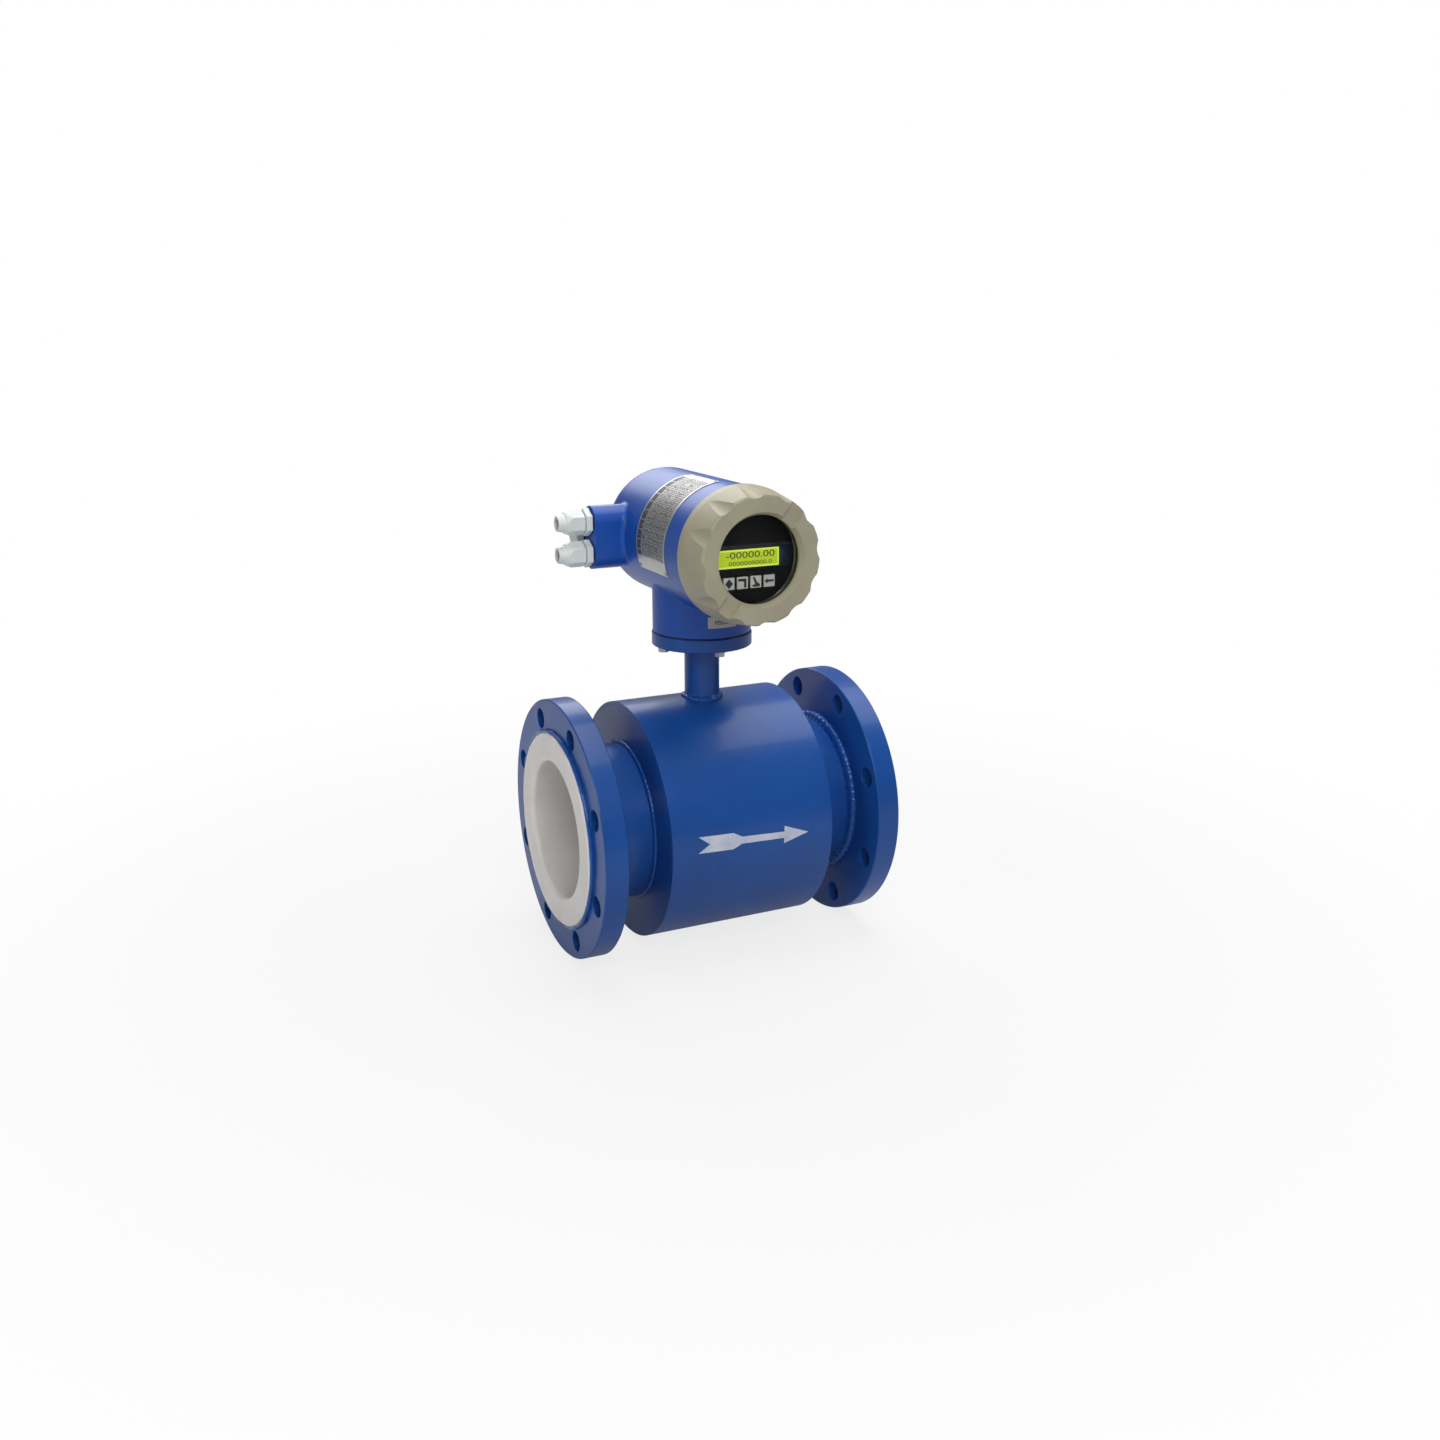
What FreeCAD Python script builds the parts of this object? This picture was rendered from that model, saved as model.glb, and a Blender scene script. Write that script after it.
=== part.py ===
import FreeCAD, Part
import math
import os
import re
import Sketcher
from FreeCAD import Placement, Rotation, Vector

# Electromagnetic flow meter of the compact kind: a flanged, lined measuring tube in a welded
# coil case, with a cast converter on a pillar.
# Frame: X along the flow, from the bolting face of the inlet flange; Z up through the pillar;
# the display looks along -Y and the cable glands point along -X. Millimetres and degrees.

SIZES = {
    # measuring tube and flanges
    "lay_length": 340.0,          # bolting face to bolting face
    "pipe_od": 168.3,
    "pipe_wall": 4.5,
    "flange_od": 280.0,
    "flange_thick": 25.4,
    "flange_edge": 1.0,           # chamfer on both rims
    "bolt_circle": 241.3,
    "bolt_hole": 22.4,
    "bolt_count": 8,
    "raised_od": 216.0,
    "raised_step": 2.0,
    "flange_weld": 7.0,           # leg of the fillet weld behind a flange
    "slip_gap": 0.15,             # radial clearance where plates slip over or into tubes
    # liner
    "flow_bore": 148.0,
    "liner_gap": 0.2,             # radial clearance between liner and tube
    "flare_od": 209.0,
    "flare_thick": 3.0,
    "flare_round": 5.0,
    "flare_edge": 1.5,            # rounding of the flare's rim
    # coil case
    "case_od": 258.0,
    "case_wall": 3.0,
    "case_length": 186.0,
    "end_plate_thick": 5.0,
    "case_weld": 3.0,
    "lead_hole": 24.0,
    # field coils, pole shoes and return band
    "shoe_thick": 3.0,
    "shoe_length": 100.0,
    "shoe_span": 100.0,           # degrees round the tube
    "core_dia": 36.0,
    "coil_id": 40.0,
    "coil_od": 92.0,
    "coil_depth": 13.0,           # radial
    "coil_gap": 0.4,
    "band_thick": 2.0,
    "band_width": 80.0,
    # measuring electrodes
    "electrode_head": 12.0,
    "electrode_rise": 1.2,        # how far the head stands into the bore
    "electrode_seat": 0.8,        # depth of the spot face in the liner
    "electrode_stem": 6.0,
    "electrode_reach": 96.0,      # stem end, from the tube's axis
    "bush_dia": 12.0,
    "bush_rim_dia": 18.0,
    "bush_rim_thick": 2.0,
    "electrode_nut_flats": 11.0,
    "electrode_nut_thick": 5.0,
    "fit_gap": 0.1,               # radial clearance of small pins and bushes
    # pillar and mounting plate
    "pillar_od": 38.0,
    "pillar_wall": 3.0,
    "pillar_rise": 59.0,          # free height above the coil case
    "pillar_weld": 4.0,
    "plate_od": 108.0,
    "plate_thick": 14.0,
    "plate_edge": 0.8,
    "neck_bolt_circle": 90.0,
    "neck_bolt_count": 4,
    "neck_bolt_dia": 6.0,
    "neck_bolt_flats": 10.0,
    "neck_bolt_head": 4.0,
    "neck_bolt_bite": 10.0,       # length of thread in the neck
    "neck_bolt_play": 0.6,        # clearance hole over bolt diameter
    "washer_od": 12.0,
    "washer_thick": 1.6,
    "gasket_od": 104.0,
    "gasket_thick": 1.5,
    "gasket_bore": 70.0,
    "lead_dia": 8.0,
    "lead_bend": 30.0,
    "lead_drop": 14.0,            # the lead meets its terminals this far below the axis
    # converter housing
    "neck_clear": 27.5,           # neck joint to the underside of the shell
    "neck_od": 106.0,
    "neck_bore": 70.0,
    "shell_od": 136.0,
    "shell_wall": 4.0,
    "shell_front": 92.0,          # shoulder ahead of the pillar's axis
    "shell_back": 125.0,
    "dome_round": 35.0,
    "shoulder": 5.5,              # step from the shell to the spigot
    "spigot_wall": 6.0,
    "spigot_length": 22.0,
    "seat_depth": 30.0,           # board seat behind the spigot's end
    "seat_thick": 6.0,
    "seat_width": 10.5,           # ring, inwards from the spigot's bore
    "boss_free": 32.0,            # how far the cable boss stands out of the shell
    "boss_round": 17.0,
    "entry_pitch": 34.0,
    "entry_back": 68.0,           # front pair of entries behind the pillar's axis
    "entry_stagger": 28.0,        # third entry behind the front pair
    "entry_dia": 20.0,
    "boss_fillet": 5.0,
    "neck_fillet": 2.5,
    # front cover and window
    "cover_gap": 0.8,
    "cover_overhang": 2.0,        # cover outside the shell
    "cover_depth": 49.0,          # shoulder to front face
    "cover_ring": 12.0,           # plain ring behind the scoops
    "cover_taper": 4.5,           # radius lost from the plain ring to the nose
    "nose_edge": 3.0,
    "thread_gap": 0.3,
    "thread_depth": 24.0,
    "scoop_count": 12,
    "scoop_first": 6.0,           # degrees from +X, counted towards +Z
    "scoop_radius": 18.0,
    "scoop_depth": 4.0,
    "scoop_fade": 0.4,            # a scoop ends this far outside the plain ring
    "slot_width": 18.0,
    "slot_depth": 4.5,
    "slot_angle": 51.0,
    "mouth_flare": 3.0,           # radius gained by the window's cone
    "glass_rim": 7.0,             # width of glass behind the lip
    "window_cone": 6.0,
    "window_lip": 3.0,
    "glass_step": 11.0,           # glass inside the thread
    "glass_thick": 6.0,
    "glass_gap": 0.3,
    "glass_gasket_thick": 1.5,
    "clamp_thick": 4.0,
    "clamp_width": 5.5,
    "seal_step": 3.0,             # O-ring outside the spigot
    "seal_wire": 2.8,
    "seal_gap": 0.3,
    # display and electronics
    "panel_setback": 2.0,         # panel front behind the spigot's end
    "panel_gap": 1.0,
    "panel_thick": 2.0,
    "lcd_width": 88.0,
    "lcd_height": 24.0,
    "lcd_shift": 6.5,
    "lcd_deep": 8.0,
    "key_size": 12.0,
    "key_pitch": 15.0,
    "key_drop": 26.0,
    "key_rise": 1.2,
    "key_gap": 0.3,
    "key_rim": 1.0,               # rim that holds the key behind the panel
    "key_rim_thick": 1.2,
    "key_stem": 4.0,
    "key_travel": 0.5,
    "switch_size": 6.0,
    "switch_high": 4.0,
    "board_gap": 3.5,             # board inside the spigot's bore
    "board_thick": 1.6,
    "rear_standoff": 12.0,
    "standoff_dia": 6.0,
    "standoff_inset": 5.0,        # from the board's rim
    "screw_inset": 3.5,           # from the bore of the board seat
    "board_screw_dia": 3.0,
    "board_screw_head": 5.5,
    "board_screw_bite": 4.5,
    "terminal_width": 64.0,
    "terminal_height": 16.0,
    "terminal_deep": 14.0,
    "terminal_hole": 4.5,
    "terminal_ways": 8,
    # nameplate and neck label
    "name_width": 72.0,
    "name_thick": 0.6,
    "name_front": 57.0,           # front edge ahead of the pillar's axis
    "name_span": 107.0,           # degrees round the shell
    "name_middle": 31.5,          # middle of the plate above -X, degrees
    "rivet_dia": 2.4,
    "rivet_head": 4.4,
    "rivet_inset": 3.2,
    "label_gap": 0.05,
    "label_span": 36.0,
    "label_high": 12.0,
    "label_thick": 0.3,
    "label_level": 17.0,          # middle of the label above the neck joint
    # cable glands and blanking plug
    "entry_washer_thick": 1.6,
    "entry_washer_od": 25.0,
    "gland_thread": 10.0,
    "gland_flats": 26.0,
    "gland_hex": 6.5,
    "gland_bore": 12.0,
    "gland_cage_od": 18.0,
    "gland_cage": 14.0,
    "gland_nut_gap": 1.5,
    "gland_nut_flats": 24.0,
    "gland_nut_hex": 12.0,
    "gland_nut_length": 28.0,
    "gland_mouth": 16.5,
    "gland_seal_seat": 14.0,
    "gland_seal_depth": 9.0,      # how far the rubber sits in the cage
    "gland_seal_length": 16.0,
    "gland_seal_bore": 10.0,
    "plug_flats": 24.0,
    "plug_head": 8.0,
}

# Places and radii that follow from the sizes, as text for the sheet's expressions.
PIPE_R = "(pipe_od / 2)"
CASE_R = "(case_od / 2)"
SHOE_R = f"({PIPE_R} + slip_gap)"
COIL_R = f"({SHOE_R} + shoe_thick + coil_gap)"
BAND_R = f"({COIL_R} + coil_depth + coil_gap)"
PLATE_LEVEL = f"({CASE_R} + pillar_rise)"
JOINT_LEVEL = f"({PLATE_LEVEL} + plate_thick + gasket_thick)"
MID_X = "(lay_length / 2)"
SHELL_R = "(shell_od / 2)"
SPIGOT_R = f"({SHELL_R} - shoulder)"
SPIGOT_BORE = f"({SPIGOT_R} - spigot_wall)"
SEAT_R = f"({SPIGOT_BORE} - seat_width)"
SCREW_R = f"({SEAT_R} + screw_inset)"
BOARD_R = f"({SPIGOT_BORE} - board_gap)"
STANDOFF_R = f"({BOARD_R} - standoff_inset)"
PANEL_R = f"({SPIGOT_BORE} - panel_gap)"
COVER_R = f"({SHELL_R} + cover_overhang)"
NOSE_R = f"({COVER_R} - cover_taper)"
SEAL_R = f"({SPIGOT_R} + seal_step)"
GLASS_R = f"({SPIGOT_R} - glass_step)"
APERTURE_R = f"({GLASS_R} - glass_rim)"
NECK_HEIGHT = f"(neck_clear + {SHELL_R})"
BOSS_REACH = f"({SHELL_R} + boss_free)"
AXIS_Z = f"({JOINT_LEVEL} + {NECK_HEIGHT})"
SPIGOT_END = "(shell_front + spigot_length)"
SEAT_PLANE = f"({SPIGOT_END} - seat_depth)"
PANEL_FRONT = f"({SPIGOT_END} - panel_setback)"
PANEL_BACK = f"({PANEL_FRONT} - panel_thick)"
MAIN_BACK = f"({SEAT_PLANE} + board_thick + rear_standoff)"
MAIN_FRONT = f"({MAIN_BACK} + board_thick)"
GLASS_SEAT = "(cover_depth - window_cone - window_lip)"
CLAMP_BACK = f"({GLASS_SEAT} - glass_gasket_thick - glass_thick - clamp_thick)"
NUT_START = "(entry_washer_thick + gland_hex + gland_nut_gap)"
NUT_END = f"({NUT_START} + gland_nut_length)"
CAGE_END = "(entry_washer_thick + gland_hex + gland_cage)"

X_AXIS = Vector(1, 0, 0)
Y_AXIS = Vector(0, 1, 0)
Z_AXIS = Vector(0, 0, 1)

doc = FreeCAD.newDocument("flow_meter")
sheet = doc.addObject("Spreadsheet::Sheet", "Sizes")
SUB_PARTS = []


def fill_sheet():
    """Write every driving size to the sheet, with its name as alias."""
    for row, (name, size) in enumerate(SIZES.items(), start=1):
        sheet.set(f"A{row}", name)
        sheet.set(f"B{row}", str(size))
        sheet.setAlias(f"B{row}", name)
    doc.recompute()


def formula(text):
    """Turn names of sizes in a text into references to the sheet's cells."""
    def cell(match):
        word = match.group(0)
        return f"Sizes.{word}" if word in SIZES else word
    return re.sub(r"[a-z][a-z_]+", cell, text)


def number(text):
    """Work out a text made of sizes, as a plain number."""
    return float(sheet.evalExpression(formula(text)))


def bind(thing, path, text):
    thing.setExpression(path, formula(text))


# --- sketches -----------------------------------------------------------------------------

def origin_feature(body, role):
    return next(item for item in body.Origin.OriginFeatures if item.Role == role)


def new_sketch(body, name, plane, offset="0", turn=None):
    """A sketch on one of the body's own planes, lifted by offset and turned about its own axis."""
    sketch = body.newObject("Sketcher::SketchObject", name)
    sketch.AttachmentSupport = (origin_feature(body, plane), [""])
    sketch.MapMode = "FlatFace"
    if turn:
        axis, angle = turn
        sketch.AttachmentOffset = Placement(Vector(), Rotation(axis, number(angle)))
        bind(sketch, "AttachmentOffset.Rotation.Angle", angle)
    if offset != "0":
        bind(sketch, "AttachmentOffset.Base.z", offset)
    return sketch


def pin_point(sketch, geometry, point, x, y):
    """Hold a point of the sketch at two texts made of sizes."""
    for kind, text, axis in (("DistanceX", x, -2), ("DistanceY", y, -1)):
        if text == "0":
            sketch.addConstraint(Sketcher.Constraint("PointOnObject", geometry, point, axis))
        else:
            rule = Sketcher.Constraint(kind, -1, 1, geometry, point, number(text))
            bind(sketch, f"Constraints[{sketch.addConstraint(rule)}]", text)


def draw_outline(sketch, corners, arcs=None):
    """A closed outline; arcs maps a corner's index to the centre of the arc that leaves it."""
    arcs = arcs or {}
    spots = [Vector(number(x), number(y), 0) for x, y in corners]
    ends = []
    for index, spot in enumerate(spots):
        following = spots[(index + 1) % len(spots)]
        if index in arcs:
            centre = Vector(number(arcs[index][0]), number(arcs[index][1]), 0)
            bulge = (spot + following) * 0.5 - centre
            bulge.normalize()
            crown = centre + bulge * (spot - centre).Length
            edge = sketch.addGeometry(Part.Arc(spot, crown, following))
            forward = (sketch.getPoint(edge, 1) - spot).Length < 1e-4
            ends.append((edge, 1, 2) if forward else (edge, 2, 1))
        else:
            edge = sketch.addGeometry(Part.LineSegment(spot, following))
            ends.append((edge, 1, 2))
    for index, (edge, first, last) in enumerate(ends):
        following, start, _ = ends[(index + 1) % len(ends)]
        sketch.addConstraint(Sketcher.Constraint("Coincident", edge, last, following, start))
        pin_point(sketch, edge, first, *corners[index])
    for index, (x, y) in arcs.items():
        edge, first, last = ends[index]
        start = spots[index]
        finish = spots[(index + 1) % len(spots)]
        if abs(start.y - finish.y) >= abs(start.x - finish.x):
            rule = Sketcher.Constraint("DistanceX", -1, 1, edge, 3, number(x))
            bind(sketch, f"Constraints[{sketch.addConstraint(rule)}]", x)
        else:
            rule = Sketcher.Constraint("DistanceY", -1, 1, edge, 3, number(y))
            bind(sketch, f"Constraints[{sketch.addConstraint(rule)}]", y)


def draw_circle(sketch, x, y, diameter):
    spot = Vector(number(x), number(y), 0)
    edge = sketch.addGeometry(Part.Circle(spot, Z_AXIS, number(diameter) / 2))
    rule = Sketcher.Constraint("Diameter", edge, number(diameter))
    bind(sketch, f"Constraints[{sketch.addConstraint(rule)}]", diameter)
    if x == "0" and y == "0":
        sketch.addConstraint(Sketcher.Constraint("Coincident", edge, 3, -1, 1))
    else:
        pin_point(sketch, edge, 3, x, y)


def draw_box(sketch, left, right, low, high):
    draw_outline(sketch, [(left, low), (right, low), (right, high), (left, high)])


def draw_hexagon(sketch, x, y, flats):
    """A hexagon with corners up and down, given across its flats."""
    corners = []
    for step in range(6):
        angle = math.radians(60 * step + 30)
        across = math.cos(angle) / math.sqrt(3)
        along = math.sin(angle) / math.sqrt(3)
        corners.append((f"{x} + {flats} * ({across:.9f})", f"{y} + {flats} * ({along:.9f})"))
    draw_outline(sketch, corners)


# --- features -----------------------------------------------------------------------------

def new_body(name, x="0", y="0", z="0", axis=Z_AXIS, angle="0"):
    """A sub-part with its place in the meter's frame."""
    body = doc.addObject("PartDesign::Body", name)
    body.Label = name
    body.Placement = Placement(Vector(), Rotation(axis, number(angle)))
    for path, text in (("Base.x", x), ("Base.y", y), ("Base.z", z), ("Rotation.Angle", angle)):
        bind(body, f"Placement.{path}", text)
    SUB_PARTS.append(body)
    return body


def settle(body, feature, removes=False):
    """Recompute, and make sure that a cutting feature has taken something away."""
    before = body.Shape.Volume if removes else 0.0
    body.Tip = feature
    doc.recompute()
    if removes and body.Shape.Volume >= before:
        raise RuntimeError(f"{body.Label}: {feature.Label} removes nothing")
    return feature


def pad(body, sketch, length, backwards=False, both=False):
    feature = body.newObject("PartDesign::Pad", "Pad")
    feature.Profile = sketch
    bind(feature, "Length", length)
    feature.Reversed = backwards
    if both:
        feature.SideType = "Symmetric"
    return settle(body, feature)


def pocket(body, sketch, length, backwards=False, both=False, taper=None):
    feature = body.newObject("PartDesign::Pocket", "Pocket")
    feature.Profile = sketch
    bind(feature, "Length", length)
    feature.Reversed = backwards
    if both:
        feature.SideType = "Symmetric"
    if taper:
        bind(feature, "TaperAngle", taper)
    return settle(body, feature, removes=True)


def revolve(body, sketch, axis="H_Axis", angle="360", removes=False):
    """Turn a sketch about one of its own axes, evenly to both sides."""
    kind = "PartDesign::Groove" if removes else "PartDesign::Revolution"
    feature = body.newObject(kind, "Groove" if removes else "Turning")
    feature.Profile = sketch
    feature.ReferenceAxis = (sketch, [axis])
    bind(feature, "Angle", angle)
    feature.Midplane = angle != "360"
    return settle(body, feature, removes)


def repeat(body, feature, axis, count, removes=False):
    """Repeat a feature evenly round one of the body's axes."""
    pattern = body.newObject("PartDesign::PolarPattern", "Round")
    pattern.Originals = [feature]
    pattern.Axis = (origin_feature(body, axis), [""])
    pattern.Angle = 360
    bind(pattern, "Occurrences", count)
    return settle(body, pattern, removes)


def turned(name, corners, arcs=None, **place):
    """A body turned about its own X axis."""
    body = new_body(name, **place)
    sketch = new_sketch(body, "Profile", "XY_Plane")
    draw_outline(sketch, corners, arcs)
    revolve(body, sketch)
    return body


def ring_corners(back, front, inner, outer):
    return [(back, inner), (front, inner), (front, outer), (back, outer)]


def disc_corners(back, front, radius):
    return [(back, "0"), (front, "0"), (front, radius), (back, radius)]


def soften(body, wanted, radius):
    """Round those edges of the body's present shape that the test wants."""
    present = body.Tip
    names = [f"Edge{index + 1}" for index, edge in enumerate(present.Shape.Edges) if wanted(edge)]
    feature = body.newObject("PartDesign::Fillet", "Fillet")
    feature.Base = (present, names)
    bind(feature, "Radius", radius)
    return settle(body, feature)


# --- places of bodies -----------------------------------------------------------------------

def ahead(distance="0"):
    """On the converter's axis, with local X towards the viewer of the display."""
    return {"x": MID_X, "y": f"-({distance})", "z": AXIS_Z, "axis": Z_AXIS, "angle": "-90"}


def on_axis():
    """On the converter's axis, unturned."""
    return {"x": MID_X, "z": AXIS_Z}


def entry_place(side):
    """At a cable entry, with local X out of the boss: side is 1, -1 or 0 for the third one."""
    back = "entry_back" if side else "entry_back + entry_stagger"
    height = f"{AXIS_Z} + ({side}) * entry_pitch / 2"
    return {"x": f"{MID_X} - {BOSS_REACH}", "y": back, "z": height, "axis": Z_AXIS, "angle": "180"}


# --- sensor -------------------------------------------------------------------------------

def measuring_tube():
    """The pipe that carries flanges, liner, coils and electrodes."""
    ends = ("-raised_step", "lay_length + raised_step")
    body = turned("measuring_tube", ring_corners(*ends, f"{PIPE_R} - pipe_wall", PIPE_R))
    holes = new_sketch(body, "Bush_holes", "XZ_Plane")
    draw_circle(holes, MID_X, "0", "bush_dia + 2 * fit_gap")
    pocket(body, holes, "pipe_od * 2", both=True)


def flange(name, x, angle):
    """A flat welding flange with raised face and the fillet weld behind it."""
    bore = f"{PIPE_R} + slip_gap"
    rim = "flange_od / 2"
    corners = [
        ("-raised_step", bore),
        ("-raised_step", "raised_od / 2"),
        ("0", "raised_od / 2"),
        ("0", f"{rim} - flange_edge"),
        ("flange_edge", rim),
        ("flange_thick - flange_edge", rim),
        ("flange_thick", f"{rim} - flange_edge"),
        ("flange_thick", f"{bore} + flange_weld"),
        ("flange_thick + flange_weld", bore),
    ]
    body = turned(name, corners, x=x, axis=Z_AXIS, angle=angle)
    sketch = new_sketch(body, "Bolt_hole", "YZ_Plane")
    half_pitch = "180 deg / bolt_count"
    across = f"bolt_circle / 2 * cos({half_pitch})"
    draw_circle(sketch, across, f"bolt_circle / 2 * sin({half_pitch})", "bolt_hole")
    hole = pocket(body, sketch, "flange_thick * 2 + raised_step * 2", both=True)
    repeat(body, hole, "X_Axis", "bolt_count", removes=True)


def liner():
    """The fluoropolymer tube, flared over both raised faces."""
    inner = "flow_bore / 2"
    outer = f"{PIPE_R} - pipe_wall - liner_gap"
    front = "-raised_step - flare_thick"
    back = "lay_length + raised_step + flare_thick"
    corners = [
        (front, f"{inner} + flare_round"),
        (f"{front} + flare_round", inner),
        (f"{back} - flare_round", inner),
        (back, f"{inner} + flare_round"),
        (back, "flare_od / 2 - flare_edge"),
        (f"{back} - flare_edge", "flare_od / 2"),
        ("lay_length + raised_step", "flare_od / 2"),
        ("lay_length + raised_step", outer),
        ("-raised_step", outer),
        ("-raised_step", "flare_od / 2"),
        (f"{front} + flare_edge", "flare_od / 2"),
        (front, "flare_od / 2 - flare_edge"),
    ]
    arcs = {
        0: (f"{front} + flare_round", f"{inner} + flare_round"),
        2: (f"{back} - flare_round", f"{inner} + flare_round"),
        4: (f"{back} - flare_edge", "flare_od / 2 - flare_edge"),
        9: (f"{front} + flare_edge", "flare_od / 2 - flare_edge"),
    }
    body = turned("liner", corners, arcs)
    seats = new_sketch(body, "Electrode_seats", "XZ_Plane")
    draw_circle(seats, MID_X, "0", "electrode_head + 2 * fit_gap")
    pocket(body, seats, "flow_bore + 2 * electrode_seat", both=True)
    stems = new_sketch(body, "Electrode_holes", "XZ_Plane")
    draw_circle(stems, MID_X, "0", "electrode_stem + 2 * fit_gap")
    pocket(body, stems, "pipe_od", both=True)


def coil_case():
    """The rolled and welded shell round the coils."""
    ends = ("(lay_length - case_length) / 2", "(lay_length + case_length) / 2")
    body = turned("coil_case", ring_corners(*ends, f"{CASE_R} - case_wall", CASE_R))
    sketch = new_sketch(body, "Lead_hole", "XY_Plane")
    draw_circle(sketch, MID_X, "0", "lead_hole")
    pocket(body, sketch, "case_od", backwards=True)


def end_plate(name, x, angle):
    """An annular end plate, welded to the measuring tube."""
    bore = f"{PIPE_R} + slip_gap"
    rim = f"{CASE_R} - case_wall - slip_gap"
    corners = [
        ("-case_weld", bore),
        ("0", f"{bore} + case_weld"),
        ("0", rim),
        ("end_plate_thick", rim),
        ("end_plate_thick", bore),
    ]
    turned(name, corners, x=x, axis=Z_AXIS, angle=angle)


def pole_shoe(name, angle):
    """A curved steel shoe with its core, above or below the tube."""
    body = new_body(name, x=MID_X, axis=X_AXIS, angle=angle)
    shoe = new_sketch(body, "Shoe", "XZ_Plane")
    draw_box(shoe, "-shoe_length / 2", "shoe_length / 2", SHOE_R, f"{SHOE_R} + shoe_thick")
    revolve(body, shoe, angle="shoe_span")
    core = new_sketch(body, "Core", "XY_Plane", offset=f"{SHOE_R} + shoe_thick / 2")
    draw_circle(core, "0", "0", "core_dia")
    pad(body, core, f"{BAND_R} - {SHOE_R}")
    trim = new_sketch(body, "Core_top", "XY_Plane")
    draw_box(trim, "-core_dia", "core_dia", f"{BAND_R} - slip_gap", f"{BAND_R} + shoe_thick * 2")
    revolve(body, trim, removes=True)


def field_coil(name, angle):
    """A saddle coil: a round winding that follows the tube."""
    body = new_body(name, x=MID_X, axis=X_AXIS, angle=angle)
    winding = new_sketch(body, "Winding", "XY_Plane", offset="pipe_od / 4")
    draw_circle(winding, "0", "0", "coil_od")
    draw_circle(winding, "0", "0", "coil_id")
    pad(body, winding, BAND_R)
    inside = new_sketch(body, "Saddle", "XY_Plane")
    draw_box(inside, "-coil_od", "coil_od", "0", COIL_R)
    revolve(body, inside, removes=True)
    outside = new_sketch(body, "Crown", "XY_Plane")
    draw_box(outside, "-coil_od", "coil_od", f"{COIL_R} + coil_depth", f"{BAND_R} * 2")
    revolve(body, outside, removes=True)


def return_band():
    """The thin steel band that closes the field outside the coils."""
    ends = (f"{MID_X} - band_width / 2", f"{MID_X} + band_width / 2")
    turned("return_band", ring_corners(*ends, BAND_R, f"{BAND_R} + band_thick"))


def electrode(side, angle):
    """Electrode, insulating bush and nut on one side of the tube; local X is outwards."""
    place = {"x": MID_X, "axis": Z_AXIS, "angle": angle}
    face = "flow_bore / 2 - electrode_rise"
    shoulder = "flow_bore / 2 + electrode_seat"
    corners = [
        (face, "0"),
        (face, "electrode_head / 2 - electrode_rise / 2"),
        (f"{face} + electrode_rise / 2", "electrode_head / 2"),
        (shoulder, "electrode_head / 2"),
        (shoulder, "electrode_stem / 2"),
        ("electrode_reach", "electrode_stem / 2"),
        ("electrode_reach", "0"),
    ]
    turned(f"{side}_electrode", corners, **place)
    bore = "electrode_stem / 2 + fit_gap"
    rim = f"{PIPE_R} + slip_gap"
    sleeve = f"{PIPE_R} - pipe_wall + fit_gap"
    corners = [
        (sleeve, bore),
        (f"{rim} + bush_rim_thick", bore),
        (f"{rim} + bush_rim_thick", "bush_rim_dia / 2"),
        (rim, "bush_rim_dia / 2"),
        (rim, "bush_dia / 2"),
        (sleeve, "bush_dia / 2"),
    ]
    turned(f"{side}_electrode_bush", corners, **place)
    nut = new_body(f"{side}_electrode_nut", **place)
    sketch = new_sketch(nut, "Hexagon", "YZ_Plane", offset=f"{rim} + bush_rim_thick")
    draw_hexagon(sketch, "0", "0", "electrode_nut_flats")
    draw_circle(sketch, "0", "0", "electrode_stem + 2 * fit_gap")
    pad(nut, sketch, "electrode_nut_thick")


def pillar():
    """The tube between case and mounting plate, with its weld bead at the foot."""
    bore = "pillar_od / 2 - pillar_wall"
    foot = f"{CASE_R} - pillar_weld * 2"
    body = new_body("pillar", x=MID_X)
    sketch = new_sketch(body, "Profile", "XZ_Plane")
    corners = [
        (bore, foot),
        ("pillar_od / 2 + pillar_weld", foot),
        ("pillar_od / 2 + pillar_weld", CASE_R),
        ("pillar_od / 2", f"{CASE_R} + pillar_weld"),
        ("pillar_od / 2", PLATE_LEVEL),
        (bore, PLATE_LEVEL),
    ]
    draw_outline(sketch, corners)
    revolve(body, sketch, axis="V_Axis")
    saddle = new_sketch(body, "Saddle", "XY_Plane")
    draw_box(saddle, "-pillar_od", "pillar_od", "0", f"{CASE_R} + slip_gap")
    revolve(body, saddle, removes=True)


def mounting_plate():
    """The round plate that the converter is bolted to."""
    body = new_body("mounting_plate", x=MID_X, z=PLATE_LEVEL)
    sketch = new_sketch(body, "Profile", "XZ_Plane")
    rim = "plate_od / 2"
    bore = "pillar_od / 2 - pillar_wall"
    corners = [
        (bore, "0"),
        (f"{rim} - plate_edge", "0"),
        (rim, "plate_edge"),
        (rim, "plate_thick - plate_edge"),
        (f"{rim} - plate_edge", "plate_thick"),
        (bore, "plate_thick"),
    ]
    draw_outline(sketch, corners)
    revolve(body, sketch, axis="V_Axis")
    neck_bolt_holes(body, "neck_bolt_dia + neck_bolt_play", "plate_thick")


def neck_bolt_holes(body, diameter, depth):
    """The bolt holes of the neck joint, upwards from the body's own XY plane."""
    sketch = new_sketch(body, "Bolt_hole", "XY_Plane")
    draw_circle(sketch, "neck_bolt_circle / 2", "0", diameter)
    hole = pocket(body, sketch, depth, backwards=True)
    repeat(body, hole, "Z_Axis", "neck_bolt_count", removes=True)


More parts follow.
